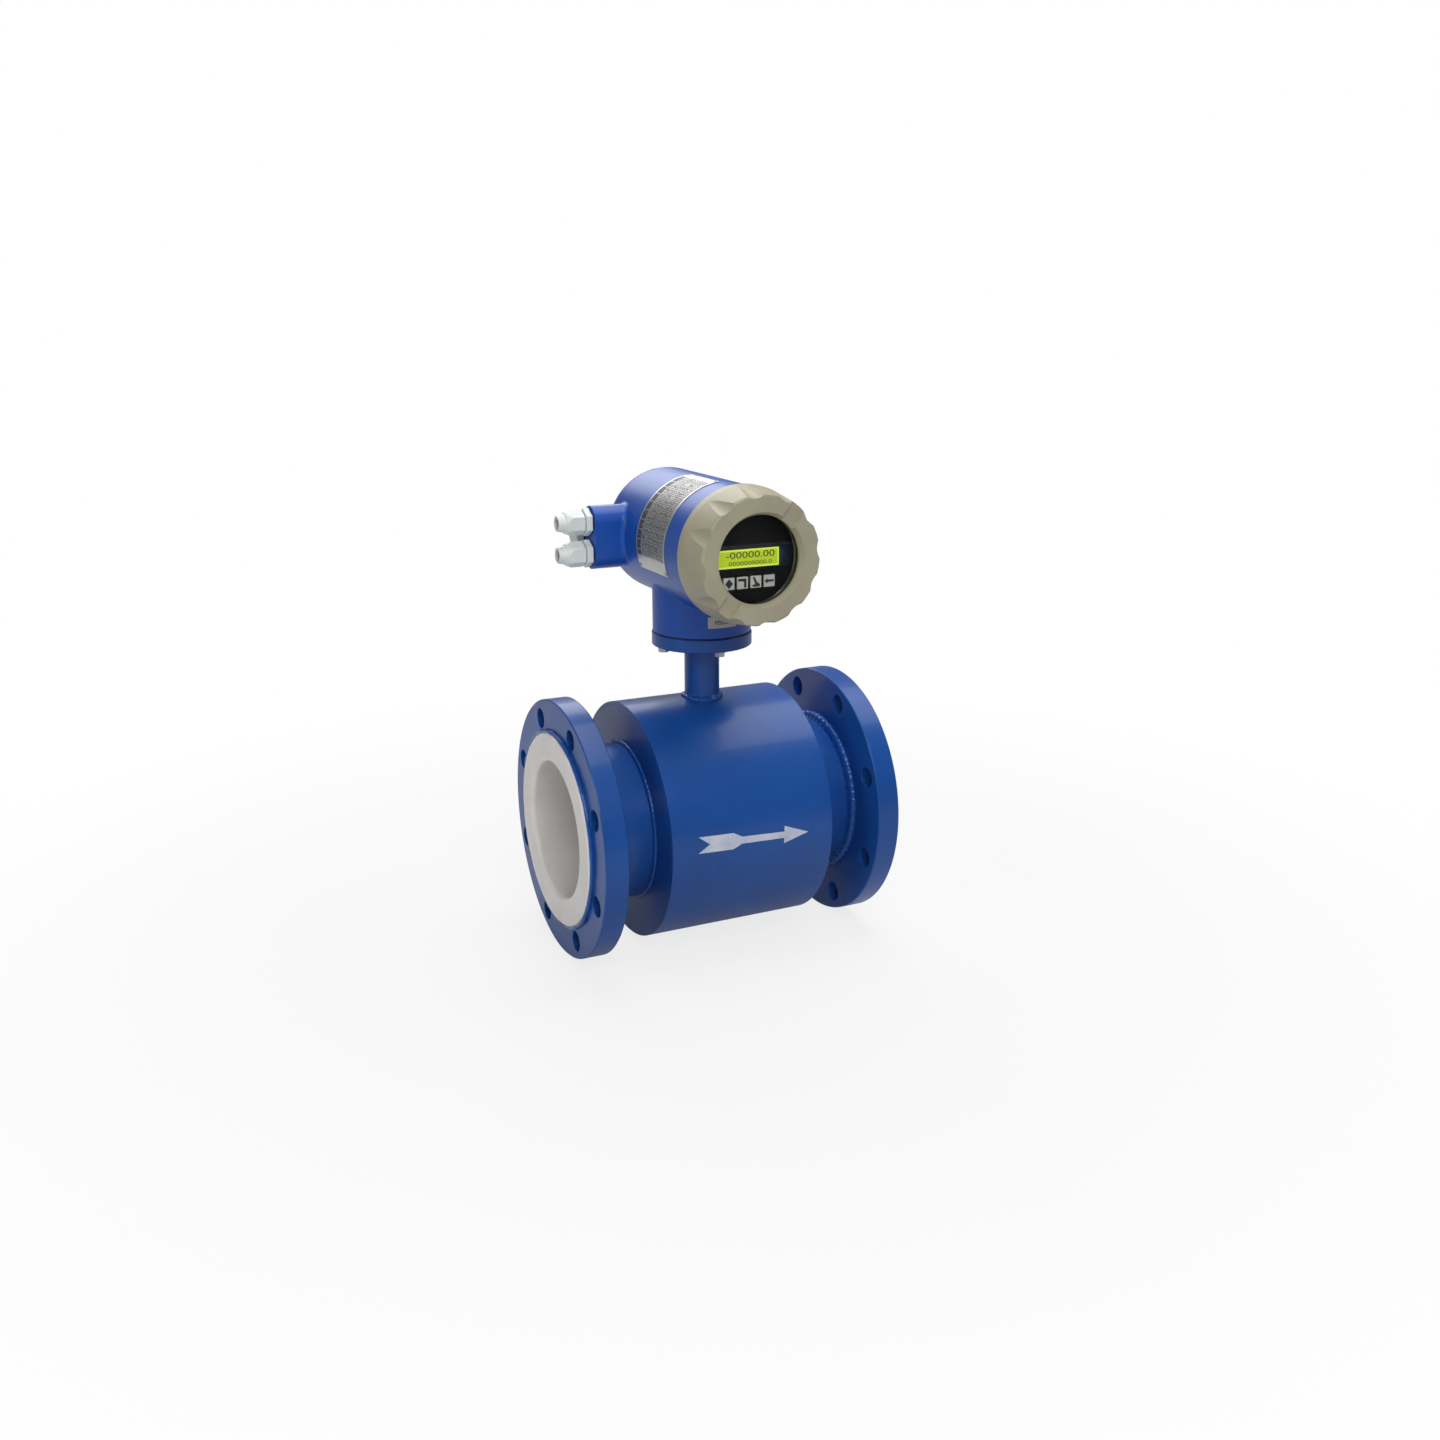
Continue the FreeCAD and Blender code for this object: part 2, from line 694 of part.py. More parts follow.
def neck_gasket():
    body = new_body("neck_gasket", x=MID_X, z=f"{PLATE_LEVEL} + plate_thick")
    sketch = new_sketch(body, "Outline", "XY_Plane")
    draw_circle(sketch, "0", "0", "gasket_od")
    draw_circle(sketch, "0", "0", "gasket_bore")
    pad(body, sketch, "gasket_thick")
    neck_bolt_holes(body, "neck_bolt_dia + neck_bolt_play", "gasket_thick")


def neck_bolts():
    """Four hexagon bolts that come up through the plate into the neck."""
    body = new_body("neck_bolts", x=MID_X, z=PLATE_LEVEL)
    head = new_sketch(body, "Head", "XY_Plane", offset="-washer_thick - neck_bolt_head")
    draw_hexagon(head, "neck_bolt_circle / 2", "0", "neck_bolt_flats")
    first = pad(body, head, "neck_bolt_head")
    shank = new_sketch(body, "Shank", "XY_Plane", offset="-washer_thick")
    draw_circle(shank, "neck_bolt_circle / 2", "0", "neck_bolt_dia")
    second = pad(body, shank, "washer_thick + plate_thick + gasket_thick + neck_bolt_bite")
    pattern = repeat(body, first, "Z_Axis", "neck_bolt_count")
    pattern.Originals = [first, second]
    settle(body, pattern)


def neck_washers():
    body = new_body("neck_washers", x=MID_X, z=PLATE_LEVEL)
    sketch = new_sketch(body, "Washer", "XY_Plane")
    draw_circle(sketch, "neck_bolt_circle / 2", "0", "washer_od")
    draw_circle(sketch, "neck_bolt_circle / 2", "0", "neck_bolt_dia + neck_bolt_play")
    washer = pad(body, sketch, "washer_thick", backwards=True)
    repeat(body, washer, "Z_Axis", "neck_bolt_count")


def lead_grommet():
    """The rubber bush that holds the sensor lead in the plate's bore."""
    bore = "lead_dia / 2 + fit_gap"
    rim = "pillar_od / 2 - pillar_wall - fit_gap"
    corners = ring_corners("0", "plate_thick / 2", bore, rim)
    turned("lead_grommet", corners, x=MID_X, z=f"{PLATE_LEVEL} + plate_thick / 4", axis=Y_AXIS, angle="-90")


def sensor_lead():
    """The sheathed lead from the coils up the pillar and forward to the terminals."""
    body = new_body("sensor_lead", x=MID_X)
    foot = f"{BAND_R} + band_thick + coil_gap"
    top = f"{AXIS_Z} - lead_drop"
    end = f"-({SEAT_PLANE} - terminal_deep - slip_gap)"
    route = new_sketch(body, "Route", "YZ_Plane")
    low = Vector(0, number(foot), 0)
    turn_start = Vector(0, number(f"{top} - lead_bend"), 0)
    turn_end = Vector(-number("lead_bend"), number(top), 0)
    last = Vector(number(end), number(top), 0)
    half = number("lead_bend") * math.sqrt(0.5)
    crown = Vector(half - number("lead_bend"), turn_start.y + half, 0)
    rise = route.addGeometry(Part.LineSegment(low, turn_start))
    bend = route.addGeometry(Part.Arc(turn_start, crown, turn_end))
    run = route.addGeometry(Part.LineSegment(turn_end, last))
    route.addConstraint(Sketcher.Constraint("Tangent", rise, 2, bend, 1))
    route.addConstraint(Sketcher.Constraint("Tangent", bend, 2, run, 1))
    pin_point(route, rise, 1, "0", foot)
    pin_point(route, run, 2, end, top)
    route.addConstraint(Sketcher.Constraint("Vertical", rise))
    rule = Sketcher.Constraint("Radius", bend, number("lead_bend"))
    bind(route, f"Constraints[{route.addConstraint(rule)}]", "lead_bend")
    section = new_sketch(body, "Section", "XY_Plane", offset=foot)
    draw_circle(section, "0", "0", "lead_dia")
    sweep = body.newObject("PartDesign::AdditivePipe", "Sweep")
    sweep.Profile = section
    sweep.Spine = (route, [])
    settle(body, sweep)


# --- converter housing ----------------------------------------------------------------------

def boss_outline(sketch):
    """The rounded triangle round the three cable entries; sketch x is back, y is up."""
    back = "entry_back"
    far = "entry_back + entry_stagger"
    half = "entry_pitch / 2"
    slope = "atan(entry_pitch / 2 / entry_stagger)"
    lift = f"boss_round * cos({slope})"
    push = f"boss_round * sin({slope})"
    corners = [
        (f"{back} - boss_round", f"-{half}"),
        (f"{back} + {push}", f"-{half} - {lift}"),
        (f"{far} + {push}", f"-{lift}"),
        (f"{far} + {push}", lift),
        (f"{back} + {push}", f"{half} + {lift}"),
        (f"{back} - boss_round", half),
    ]
    arcs = {0: (back, f"-{half}"), 2: (far, "0"), 4: (back, half)}
    draw_outline(sketch, corners, arcs)


def shell_outline(sketch):
    """The outside of the shell: domed back, cylinder, shoulder and threaded spigot."""
    radius = SHELL_R
    corners = [
        ("shell_back", "0"),
        ("-" + SPIGOT_END, "0"),
        ("-" + SPIGOT_END, SPIGOT_R),
        ("-shell_front", SPIGOT_R),
        ("-shell_front", radius),
        ("shell_back - dome_round", radius),
        ("shell_back", f"{radius} - dome_round"),
    ]
    arcs = {5: ("shell_back - dome_round", f"{radius} - dome_round")}
    draw_outline(sketch, corners, arcs)


def hollow_outline(sketch):
    """The inside of the shell, with the ring that the boards are screwed to."""
    inner = f"{SHELL_R} - shell_wall"
    bore = SPIGOT_BORE
    ring_back = f"-{SEAT_PLANE} + seat_thick"
    corners = [
        ("shell_back - shell_wall", "0"),
        ("-" + SPIGOT_END + " - shell_wall", "0"),
        ("-" + SPIGOT_END + " - shell_wall", bore),
        ("-" + SEAT_PLANE, bore),
        ("-" + SEAT_PLANE, SEAT_R),
        (ring_back, SEAT_R),
        (ring_back, inner),
        ("shell_back - dome_round", inner),
        ("shell_back - shell_wall", f"{SHELL_R} - dome_round"),
    ]
    arcs = {7: ("shell_back - dome_round", f"{SHELL_R} - dome_round")}
    draw_outline(sketch, corners, arcs)


def converter_housing():
    """One casting: domed shell, neck, cable boss, board seat and threaded spigot."""
    body = new_body("converter_housing", **on_axis())
    shell = new_sketch(body, "Shell", "YZ_Plane")
    shell_outline(shell)
    revolve(body, shell)
    neck = new_sketch(body, "Neck", "XY_Plane", offset="-" + NECK_HEIGHT)
    draw_circle(neck, "0", "0", "neck_od")
    pad(body, neck, NECK_HEIGHT)
    soften(body, joins_neck, "neck_fillet")
    boss = new_sketch(body, "Cable_boss", "YZ_Plane")
    boss_outline(boss)
    pad(body, boss, BOSS_REACH, backwards=True)
    soften(body, joins_boss, "boss_fillet")
    hollow = new_sketch(body, "Hollow", "YZ_Plane")
    hollow_outline(hollow)
    revolve(body, hollow, removes=True)
    bore = new_sketch(body, "Neck_bore", "XY_Plane", offset="-" + NECK_HEIGHT)
    draw_circle(bore, "0", "0", "neck_bore")
    pocket(body, bore, NECK_HEIGHT, backwards=True)
    threads = new_sketch(body, "Bolt_thread", "XY_Plane", offset="-" + NECK_HEIGHT)
    draw_circle(threads, "neck_bolt_circle / 2", "0", "neck_bolt_dia + fit_gap")
    hole = pocket(body, threads, "neck_bolt_bite + washer_thick", backwards=True)
    repeat(body, hole, "Z_Axis", "neck_bolt_count", removes=True)
    entries = new_sketch(body, "Cable_entries", "YZ_Plane")
    for back, height in entry_spots():
        draw_circle(entries, back, height, "entry_dia + 2 * fit_gap")
    pocket(body, entries, BOSS_REACH)
    screws = new_sketch(body, "Board_screws", "XZ_Plane", offset=SEAT_PLANE)
    draw_circle(screws, SCREW_R, "0", "board_screw_dia + fit_gap")
    hole = pocket(body, screws, "board_screw_bite + fit_gap")
    repeat(body, hole, "Y_Axis", "neck_bolt_count", removes=True)


def joins_neck(edge):
    """True for the line where the neck's cylinder meets the shell's."""
    spot = edge.valueAt(sum(edge.ParameterRange) / 2)
    on_neck = abs(math.hypot(spot.x, spot.y) - number("neck_od / 2")) < 0.01
    return on_neck and abs(math.hypot(spot.x, spot.z) - number(SHELL_R)) < 0.01


def joins_boss(edge):
    """True for the lines where the cable boss meets the shell and its dome."""
    box = edge.BoundBox
    outside = box.XMax < -number("boss_round") and box.YMin > number("entry_back - boss_round") - 0.01
    dome_foot = abs(box.YMin - number("shell_back - dome_round")) < 0.01 and box.YLength < 0.01
    return outside and box.XLength > 0.01 and not dome_foot and edge.Curve.TypeId != "Part::GeomLine"


def entry_spots():
    """Places of the cable entries behind the pillar's axis and above the converter's axis."""
    return [
        ("entry_back", "entry_pitch / 2"),
        ("entry_back", "-entry_pitch / 2"),
        ("entry_back + entry_stagger", "0"),
    ]


# --- front cover ----------------------------------------------------------------------------

def front_cover():
    """The screwed cover: plain ring, tapered scalloped nose, conical window and two tool slots."""
    thread = f"{SPIGOT_R} + thread_gap"
    groove_low = f"{SEAL_R} - seal_wire / 2 - seal_gap"
    groove_high = f"{SEAL_R} + seal_wire / 2 + seal_gap"
    groove_end = "2 * seal_gap + seal_wire"
    recess = f"{GLASS_R} + glass_gap"
    corners = [
        ("cover_gap", thread),
        ("cover_gap", groove_low),
        (groove_end, groove_low),
        (groove_end, groove_high),
        ("cover_gap", groove_high),
        ("cover_gap", f"{COVER_R} - cover_gap"),
        ("2 * cover_gap", COVER_R),
        ("cover_ring", COVER_R),
        ("cover_depth - nose_edge", NOSE_R),
        ("cover_depth", f"{NOSE_R} - nose_edge"),
        ("cover_depth", f"{APERTURE_R} + mouth_flare"),
        ("cover_depth - window_cone", APERTURE_R),
        (GLASS_SEAT, APERTURE_R),
        (GLASS_SEAT, recess),
        ("thread_depth", recess),
        ("thread_depth", thread),
    ]
    arcs = {8: ("cover_depth - nose_edge", f"{NOSE_R} - nose_edge")}
    body = turned("front_cover", corners, arcs, **ahead("shell_front"))
    scoop = new_sketch(body, "Scoop", "YZ_Plane", offset="cover_depth")
    reach = f"({NOSE_R} - scoop_depth + scoop_radius)"
    across = f"{reach} * cos(scoop_first * 1 deg)"
    draw_circle(scoop, across, f"{reach} * sin(scoop_first * 1 deg)", "2 * scoop_radius")
    fade = "(cover_depth - cover_ring)"
    rise = "(cover_taper + scoop_depth + scoop_fade)"
    cut = pocket(body, scoop, fade, taper=f"-atan({rise} / {fade})")
    repeat(body, cut, "X_Axis", "scoop_count", removes=True)
    slot = new_sketch(body, "Tool_slots", "YZ_Plane", offset="cover_depth", turn=(Z_AXIS, "slot_angle"))
    draw_box(slot, "-" + COVER_R, COVER_R, "-slot_width / 2", "slot_width / 2")
    pocket(body, slot, "slot_depth")


def window():
    """Gasket, glass and clamp ring, from the lip of the cover backwards."""
    gasket_back = f"{GLASS_SEAT} - glass_gasket_thick"
    glass_back = f"{gasket_back} - glass_thick"
    place = ahead("shell_front")
    corners = ring_corners(gasket_back, GLASS_SEAT, APERTURE_R, GLASS_R)
    turned("window_gasket", corners, **place)
    turned("window_glass", disc_corners(glass_back, gasket_back, GLASS_R), **place)
    corners = ring_corners(CLAMP_BACK, glass_back, f"{GLASS_R} - clamp_width", GLASS_R)
    turned("window_clamp_ring", corners, **place)


def cover_seal():
    """The O-ring in the cover's rear groove."""
    body = new_body("cover_seal", **ahead("shell_front"))
    sketch = new_sketch(body, "Section", "XY_Plane")
    draw_circle(sketch, "seal_gap + seal_wire / 2", SEAL_R, "seal_wire")
    revolve(body, sketch)


# --- display and electronics ----------------------------------------------------------------

def key_places():
    """Distance of each key from the display's middle line, and its name."""
    return [(f"key_{index + 1}", f"key_pitch * ({index - 1.5})") for index in range(4)]


def key_window(sketch, middle, margin):
    half = f"(key_size / 2 + {margin})"
    draw_box(sketch, f"{middle} - {half}", f"{middle} + {half}", f"-key_drop - {half}", f"-key_drop + {half}")


def lcd_window(sketch, margin):
    half_width = f"(lcd_width / 2 + {margin})"
    half_height = f"(lcd_height / 2 + {margin})"
    left = f"lcd_shift - {half_width}"
    draw_box(sketch, left, f"lcd_shift + {half_width}", f"-{half_height}", half_height)


def display_panel():
    """The round panel in the spigot's mouth, cut out for display and keys."""
    body = turned("display_panel", disc_corners(PANEL_BACK, PANEL_FRONT, PANEL_R), **ahead())
    cuts = new_sketch(body, "Cut_outs", "YZ_Plane", offset=PANEL_FRONT)
    lcd_window(cuts, "key_gap")
    for _, middle in key_places():
        key_window(cuts, middle, "key_gap")
    pocket(body, cuts, "panel_thick")


def lcd_module():
    body = new_body("lcd_module", **ahead())
    sketch = new_sketch(body, "Outline", "YZ_Plane", offset=PANEL_FRONT)
    lcd_window(sketch, "0")
    pad(body, sketch, "lcd_deep", backwards=True)


def key(name, middle):
    """A key cap with the rim that keeps it behind the panel, and its stem."""
    body = new_body(name, **ahead())
    cap = new_sketch(body, "Cap", "YZ_Plane", offset=f"{PANEL_FRONT} + key_rise")
    key_window(cap, middle, "0")
    pad(body, cap, "key_rise + panel_thick + key_gap", backwards=True)
    rim_front = f"{PANEL_BACK} - key_gap"
    rim = new_sketch(body, "Rim", "YZ_Plane", offset=rim_front)
    key_window(rim, middle, "key_rim")
    pad(body, rim, "key_rim_thick", backwards=True)
    stem = new_sketch(body, "Stem", "YZ_Plane", offset=rim_front)
    draw_circle(stem, middle, "-key_drop", "key_stem")
    stem_back = f"({MAIN_FRONT} + switch_high + key_travel + key_gap)"
    pad(body, stem, f"{rim_front} - {stem_back}", backwards=True)


def key_switches():
    """The four tactile switches on the main board."""
    body = new_body("key_switches", **ahead())
    sketch = new_sketch(body, "Switches", "YZ_Plane", offset=MAIN_FRONT)
    for _, middle in key_places():
        half = "switch_size / 2"
        low = f"-key_drop - {half}"
        draw_box(sketch, f"{middle} - {half}", f"{middle} + {half}", low, f"-key_drop + {half}")
    pad(body, sketch, "switch_high")


def board(name, back):
    turned(name, disc_corners(back, f"{back} + board_thick", BOARD_R), **ahead())


def standoffs(name, back, length):
    """Four pillars between two boards, at 45 degrees."""
    body = new_body(name, **ahead())
    sketch = new_sketch(body, "Standoff", "YZ_Plane", offset=back)
    diagonal = f"{STANDOFF_R} * cos(45 deg)"
    draw_circle(sketch, diagonal, diagonal, "standoff_dia")
    first = pad(body, sketch, length)
    repeat(body, first, "X_Axis", "neck_bolt_count")


def power_board():
    body = new_body("power_board", **ahead())
    sketch = new_sketch(body, "Outline", "YZ_Plane", offset=SEAT_PLANE)
    draw_circle(sketch, "0", "0", f"2 * {BOARD_R}")
    pad(body, sketch, "board_thick")
    screw = new_sketch(body, "Screw_hole", "YZ_Plane", offset=SEAT_PLANE)
    draw_circle(screw, SCREW_R, "0", "board_screw_dia + 2 * fit_gap")
    hole = pocket(body, screw, "board_thick", backwards=True)
    repeat(body, hole, "X_Axis", "neck_bolt_count", removes=True)


def board_screws():
    """Four screws that hold the power board on the housing's ring."""
    body = new_body("board_screws", **ahead())
    front = f"({SEAT_PLANE} + board_thick)"
    head = new_sketch(body, "Head", "YZ_Plane", offset=front)
    draw_circle(head, SCREW_R, "0", "board_screw_head")
    first = pad(body, head, "board_screw_dia * 0.6")
    shank = new_sketch(body, "Shank", "YZ_Plane", offset=front)
    draw_circle(shank, SCREW_R, "0", "board_screw_dia")
    second = pad(body, shank, "board_thick + board_screw_bite", backwards=True)
    pattern = repeat(body, first, "X_Axis", "neck_bolt_count")
    pattern.Originals = [first, second]
    settle(body, pattern)


def terminal_block():
    """The terminals behind the power board, with their screw holes."""
    body = new_body("terminal_block", **ahead())
    sketch = new_sketch(body, "Outline", "YZ_Plane", offset=SEAT_PLANE)
    half = "terminal_width / 2"
    low = "-lead_drop - terminal_height / 2"
    draw_box(sketch, f"-{half}", half, low, "-lead_drop + terminal_height / 2")
    pad(body, sketch, "terminal_deep", backwards=True)
    holes = new_sketch(body, "Screw_holes", "YZ_Plane", offset=f"{SEAT_PLANE} - terminal_deep")
    ways = int(number("terminal_ways"))
    for way in range(ways):
        middle = f"terminal_width / terminal_ways * ({way + 0.5 - ways / 2})"
        draw_circle(holes, middle, "-lead_drop + terminal_height / 4", "terminal_hole")
    pocket(body, holes, "terminal_deep / 2", backwards=True)


# --- plates and labels ------------------------------------------------------------------------

def nameplate():
    """The sheet-metal plate bent round the shell, held by four rivets."""
    body = new_body("nameplate", **on_axis() | {"axis": Y_AXIS, "angle": "name_middle"})
    sketch = new_sketch(body, "Section", "XY_Plane")
    inner = f"({SHELL_R} + label_gap)"
    outer = f"-{inner} - name_thick"
    draw_box(sketch, outer, f"-{inner}", "-name_front", "-name_front + name_width")
    revolve(body, sketch, axis="V_Axis", angle="name_span")
    for side in (-1, 1):
        turn = (X_AXIS, f"({side}) * {RIVET_SWING}")
        holes = new_sketch(body, "Rivet_holes", "YZ_Plane", turn=turn)
        for place in RIVET_ROWS:
            draw_circle(holes, place, "0", "rivet_dia")
        pocket(body, holes, "shell_od")


RIVET_SWING = f"(name_span / 2 - rivet_inset / {SHELL_R} * 180 / pi)"
RIVET_ROWS = ("-name_front + rivet_inset", "-name_front + name_width - rivet_inset")


def nameplate_rivets():
    """Four domed rivets; each stands on the shell and fills its hole in the plate."""
    shell = number(f"{SHELL_R} + label_gap")
    head_radius = number("rivet_head / 2")
    dome = number("rivet_head * 0.7")
    rivets = []
    for side in (-1, 1):
        swing = number(f"name_middle + ({side}) * {RIVET_SWING}")
        for row in RIVET_ROWS:
            shank = Part.makeCylinder(number("rivet_dia / 2"), number("name_thick"), Vector(shell, 0, 0), X_AXIS)
            sphere = Part.makeSphere(dome)
            depth = math.sqrt(dome ** 2 - head_radius ** 2)
            sphere.translate(Vector(shell + number("name_thick") - depth, 0, 0))
            keep = Part.makeCylinder(head_radius, dome, Vector(shell + number("name_thick"), 0, 0), X_AXIS)
            rivet = shank.fuse(sphere.common(keep))
            rivet.translate(Vector(0, number(row), 0))
            rivet.rotate(Vector(), Y_AXIS, 180 + swing)
            rivets.append(rivet)
    group = doc.addObject("Part::Feature", "nameplate_rivets")
    group.Label = "nameplate_rivets"
    group.Shape = Part.makeCompound(rivets)
    group.Placement = Placement(Vector(number(MID_X), 0, number(AXIS_Z)), Rotation())
    SUB_PARTS.append(group)


def neck_label():
    """The small curved plate on the front of the neck."""
    body = new_body("neck_label", x=MID_X, z=f"{JOINT_LEVEL} + label_level")
    sketch = new_sketch(body, "Section", "YZ_Plane")
    inner = "(neck_od / 2 + label_gap)"
    draw_box(sketch, f"-{inner} - label_thick", f"-{inner}", "-label_high / 2", "label_high / 2")
    revolve(body, sketch, axis="V_Axis", angle="label_span")


# --- cable entries ----------------------------------------------------------------------------

def entry_washer(name, side):
    corners = ring_corners("0", "entry_washer_thick", "entry_dia / 2 + fit_gap", "entry_washer_od / 2")
    turned(name, corners, **entry_place(side))


def gland_body(name, side):
    """Threaded stub, hexagon and the cage that the rubber sits in."""
    body = new_body(name, **entry_place(side))
    hexagon = new_sketch(body, "Hexagon", "YZ_Plane", offset="entry_washer_thick")
    draw_hexagon(hexagon, "0", "0", "gland_flats")
    pad(body, hexagon, "gland_hex")
    trim_hexagon(body, "entry_washer_thick", "entry_washer_thick + gland_hex", "gland_flats")
    stub = new_sketch(body, "Stub", "XY_Plane")
    corners = [
        ("-gland_thread", "0"),
        ("entry_washer_thick + gland_hex / 2", "0"),
        ("entry_washer_thick + gland_hex / 2", "entry_dia / 2"),
        ("-gland_thread", "entry_dia / 2"),
    ]
    draw_outline(stub, corners)
    revolve(body, stub)
    cage = new_sketch(body, "Cage", "XY_Plane")
    draw_outline(cage, disc_corners("entry_washer_thick", CAGE_END, "gland_cage_od / 2"))
    revolve(body, cage)
    bore = new_sketch(body, "Bore", "XY_Plane")
    draw_box(bore, "-gland_thread - 1", f"{CAGE_END} + 1", "0", "gland_bore / 2")
    revolve(body, bore, removes=True)
    seat = new_sketch(body, "Seal_seat", "XY_Plane")
    draw_box(seat, f"{CAGE_END} - gland_seal_depth - thread_gap", f"{CAGE_END} + 1", "0", "gland_seal_seat / 2")
    revolve(body, seat, removes=True)


def trim_hexagon(body, back, front, flats):
    """Chamfer the corners of a hexagon head at 30 degrees on its front side."""
    corner = f"({flats} / sqrt(3))"
    run = f"({corner} - {flats} / 2)"
    sketch = new_sketch(body, "Corner_chamfer", "XY_Plane")
    corners = [
        (f"{front} - {run} * tan(30 deg)", f"{corner} + 1"),
        (f"{front} - {run} * tan(30 deg)", corner),
        (front, f"{flats} / 2"),
        (f"{front} + 1", f"{flats} / 2"),
        (f"{front} + 1", f"{corner} + 1"),
    ]
    draw_outline(sketch, corners)
    revolve(body, sketch, removes=True)


def gland_nut(name, side):
    """The domed nut: hexagon at its foot, round dome with the cable's mouth at its end."""
    body = new_body(name, **entry_place(side))
    hexagon = new_sketch(body, "Hexagon", "YZ_Plane", offset=NUT_START)
    draw_hexagon(hexagon, "0", "0", "gland_nut_flats")
    pad(body, hexagon, "gland_nut_length * 0.7")
    dome_foot = f"({NUT_START} + gland_nut_hex)"
    wide = "gland_nut_flats / sqrt(3)"
    trim = new_sketch(body, "Dome", "XY_Plane")
    corners = [
        (dome_foot, f"{wide} * 1.02"),
        (NUT_END, "gland_mouth / 2"),
        (f"{NUT_END} + 1", "gland_mouth / 2"),
        (f"{NUT_END} + 1", f"{wide} * 1.3"),
        (dome_foot, f"{wide} * 1.3"),
    ]
    crown = new_sketch(body, "Crown", "XY_Plane")
    tip = [
        (f"{NUT_START} + gland_nut_hex", "0"),
        (NUT_END, "0"),
        (NUT_END, "gland_mouth / 2"),
        (f"{NUT_START} + gland_nut_hex", "gland_nut_flats / 2"),
    ]
    draw_outline(crown, tip)
    revolve(body, crown)
    draw_outline(trim, corners)
    revolve(body, trim, removes=True)
    bore = new_sketch(body, "Inside", "XY_Plane")
    clear = "gland_cage_od / 2 + thread_gap"
    room = f"{NUT_END} - gland_nut_gap * 2"
    hollow = [
        (f"{NUT_START} - 1", "0"),
        (f"{NUT_END} + 1", "0"),
        (f"{NUT_END} + 1", "gland_bore / 2"),
        (room, "gland_bore / 2"),
        (f"{CAGE_END} + thread_gap", clear),
        (f"{NUT_START} - 1", clear),
    ]
    draw_outline(bore, hollow)
    revolve(body, bore, removes=True)


def gland_seal(name, side):
    """The rubber sleeve that the nut squeezes on to the cable."""
    start = f"{CAGE_END} - gland_seal_depth"
    outer = "gland_seal_seat / 2 - thread_gap"
    corners = ring_corners(start, f"{start} + gland_seal_length", "gland_seal_bore / 2", outer)
    turned(name, corners, **entry_place(side))


def blanking_plug():
    body = new_body("blanking_plug", **entry_place(0))
    hexagon = new_sketch(body, "Hexagon", "YZ_Plane", offset="entry_washer_thick")
    draw_hexagon(hexagon, "0", "0", "plug_flats")
    pad(body, hexagon, "plug_head")
    trim_hexagon(body, "entry_washer_thick", "entry_washer_thick + plug_head", "plug_flats")
    stub = new_sketch(body, "Stub", "XY_Plane")
    draw_outline(stub, disc_corners("-gland_thread", "entry_washer_thick + plug_head / 2", "entry_dia / 2"))
    revolve(body, stub)


# --- the whole meter --------------------------------------------------------------------------

def build_sensor():
    measuring_tube()
    flange("inlet_flange", "0", "0")
    flange("outlet_flange", "lay_length", "180")
    liner()
    coil_case()
    end_plate("inlet_end_plate", "(lay_length - case_length) / 2", "0")
    end_plate("outlet_end_plate", "(lay_length + case_length) / 2", "180")
    for side, angle in (("upper", "0"), ("lower", "180")):
        pole_shoe(f"{side}_pole_shoe", angle)
        field_coil(f"{side}_coil", angle)
    return_band()
    electrode("front", "-90")
    electrode("rear", "90")
    pillar()
    mounting_plate()
    lead_grommet()
    sensor_lead()
    neck_gasket()
    neck_bolts()
    neck_washers()


def build_converter():
    converter_housing()
    front_cover()
    window()
    cover_seal()
    display_panel()
    lcd_module()
    for name, middle in key_places():
        key(name, middle)
    key_switches()
    board("main_board", MAIN_BACK)
    power_board()
    standoffs("front_standoffs", MAIN_FRONT, f"{PANEL_BACK} - {MAIN_FRONT}")
    standoffs("rear_standoffs", f"{SEAT_PLANE} + board_thick", "rear_standoff")
    board_screws()
    terminal_block()
    nameplate()
    nameplate_rivets()
    neck_label()
    for name, side in (("upper", 1), ("lower", -1)):
        entry_washer(f"{name}_gland_washer", side)
        gland_body(f"{name}_gland_body", side)
        gland_seal(f"{name}_gland_seal", side)
        gland_nut(f"{name}_gland_nut", side)
    entry_washer("plug_washer", 0)
    blanking_plug()


def check_model():
    """Stop if anything in the document failed or any sub-part is not a valid solid."""
    doc.recompute()
    for item in doc.Objects:
        if "Invalid" in item.State or "Error" in item.State:
            raise RuntimeError(f"{item.Name} failed: {item.State}")
    for part in SUB_PARTS:
        if part.Shape.isNull() or not part.Shape.isValid() or not part.Shape.Solids:
            raise RuntimeError(f"{part.Label} has no valid solid")


def write_parts():
    os.makedirs("parts", exist_ok=True)
    for part in SUB_PARTS:
        part.Shape.exportStep(os.path.join("parts", part.Label + ".step"))


fill_sheet()
build_sensor()
build_converter()
check_model()
write_parts()
print(len(SUB_PARTS), "sub-parts written")
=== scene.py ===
"""Finishes, welds, markings and studio for a flanged electromagnetic flow meter."""

import math

import bmesh
import bpy
from mathutils import Matrix, Vector, noise


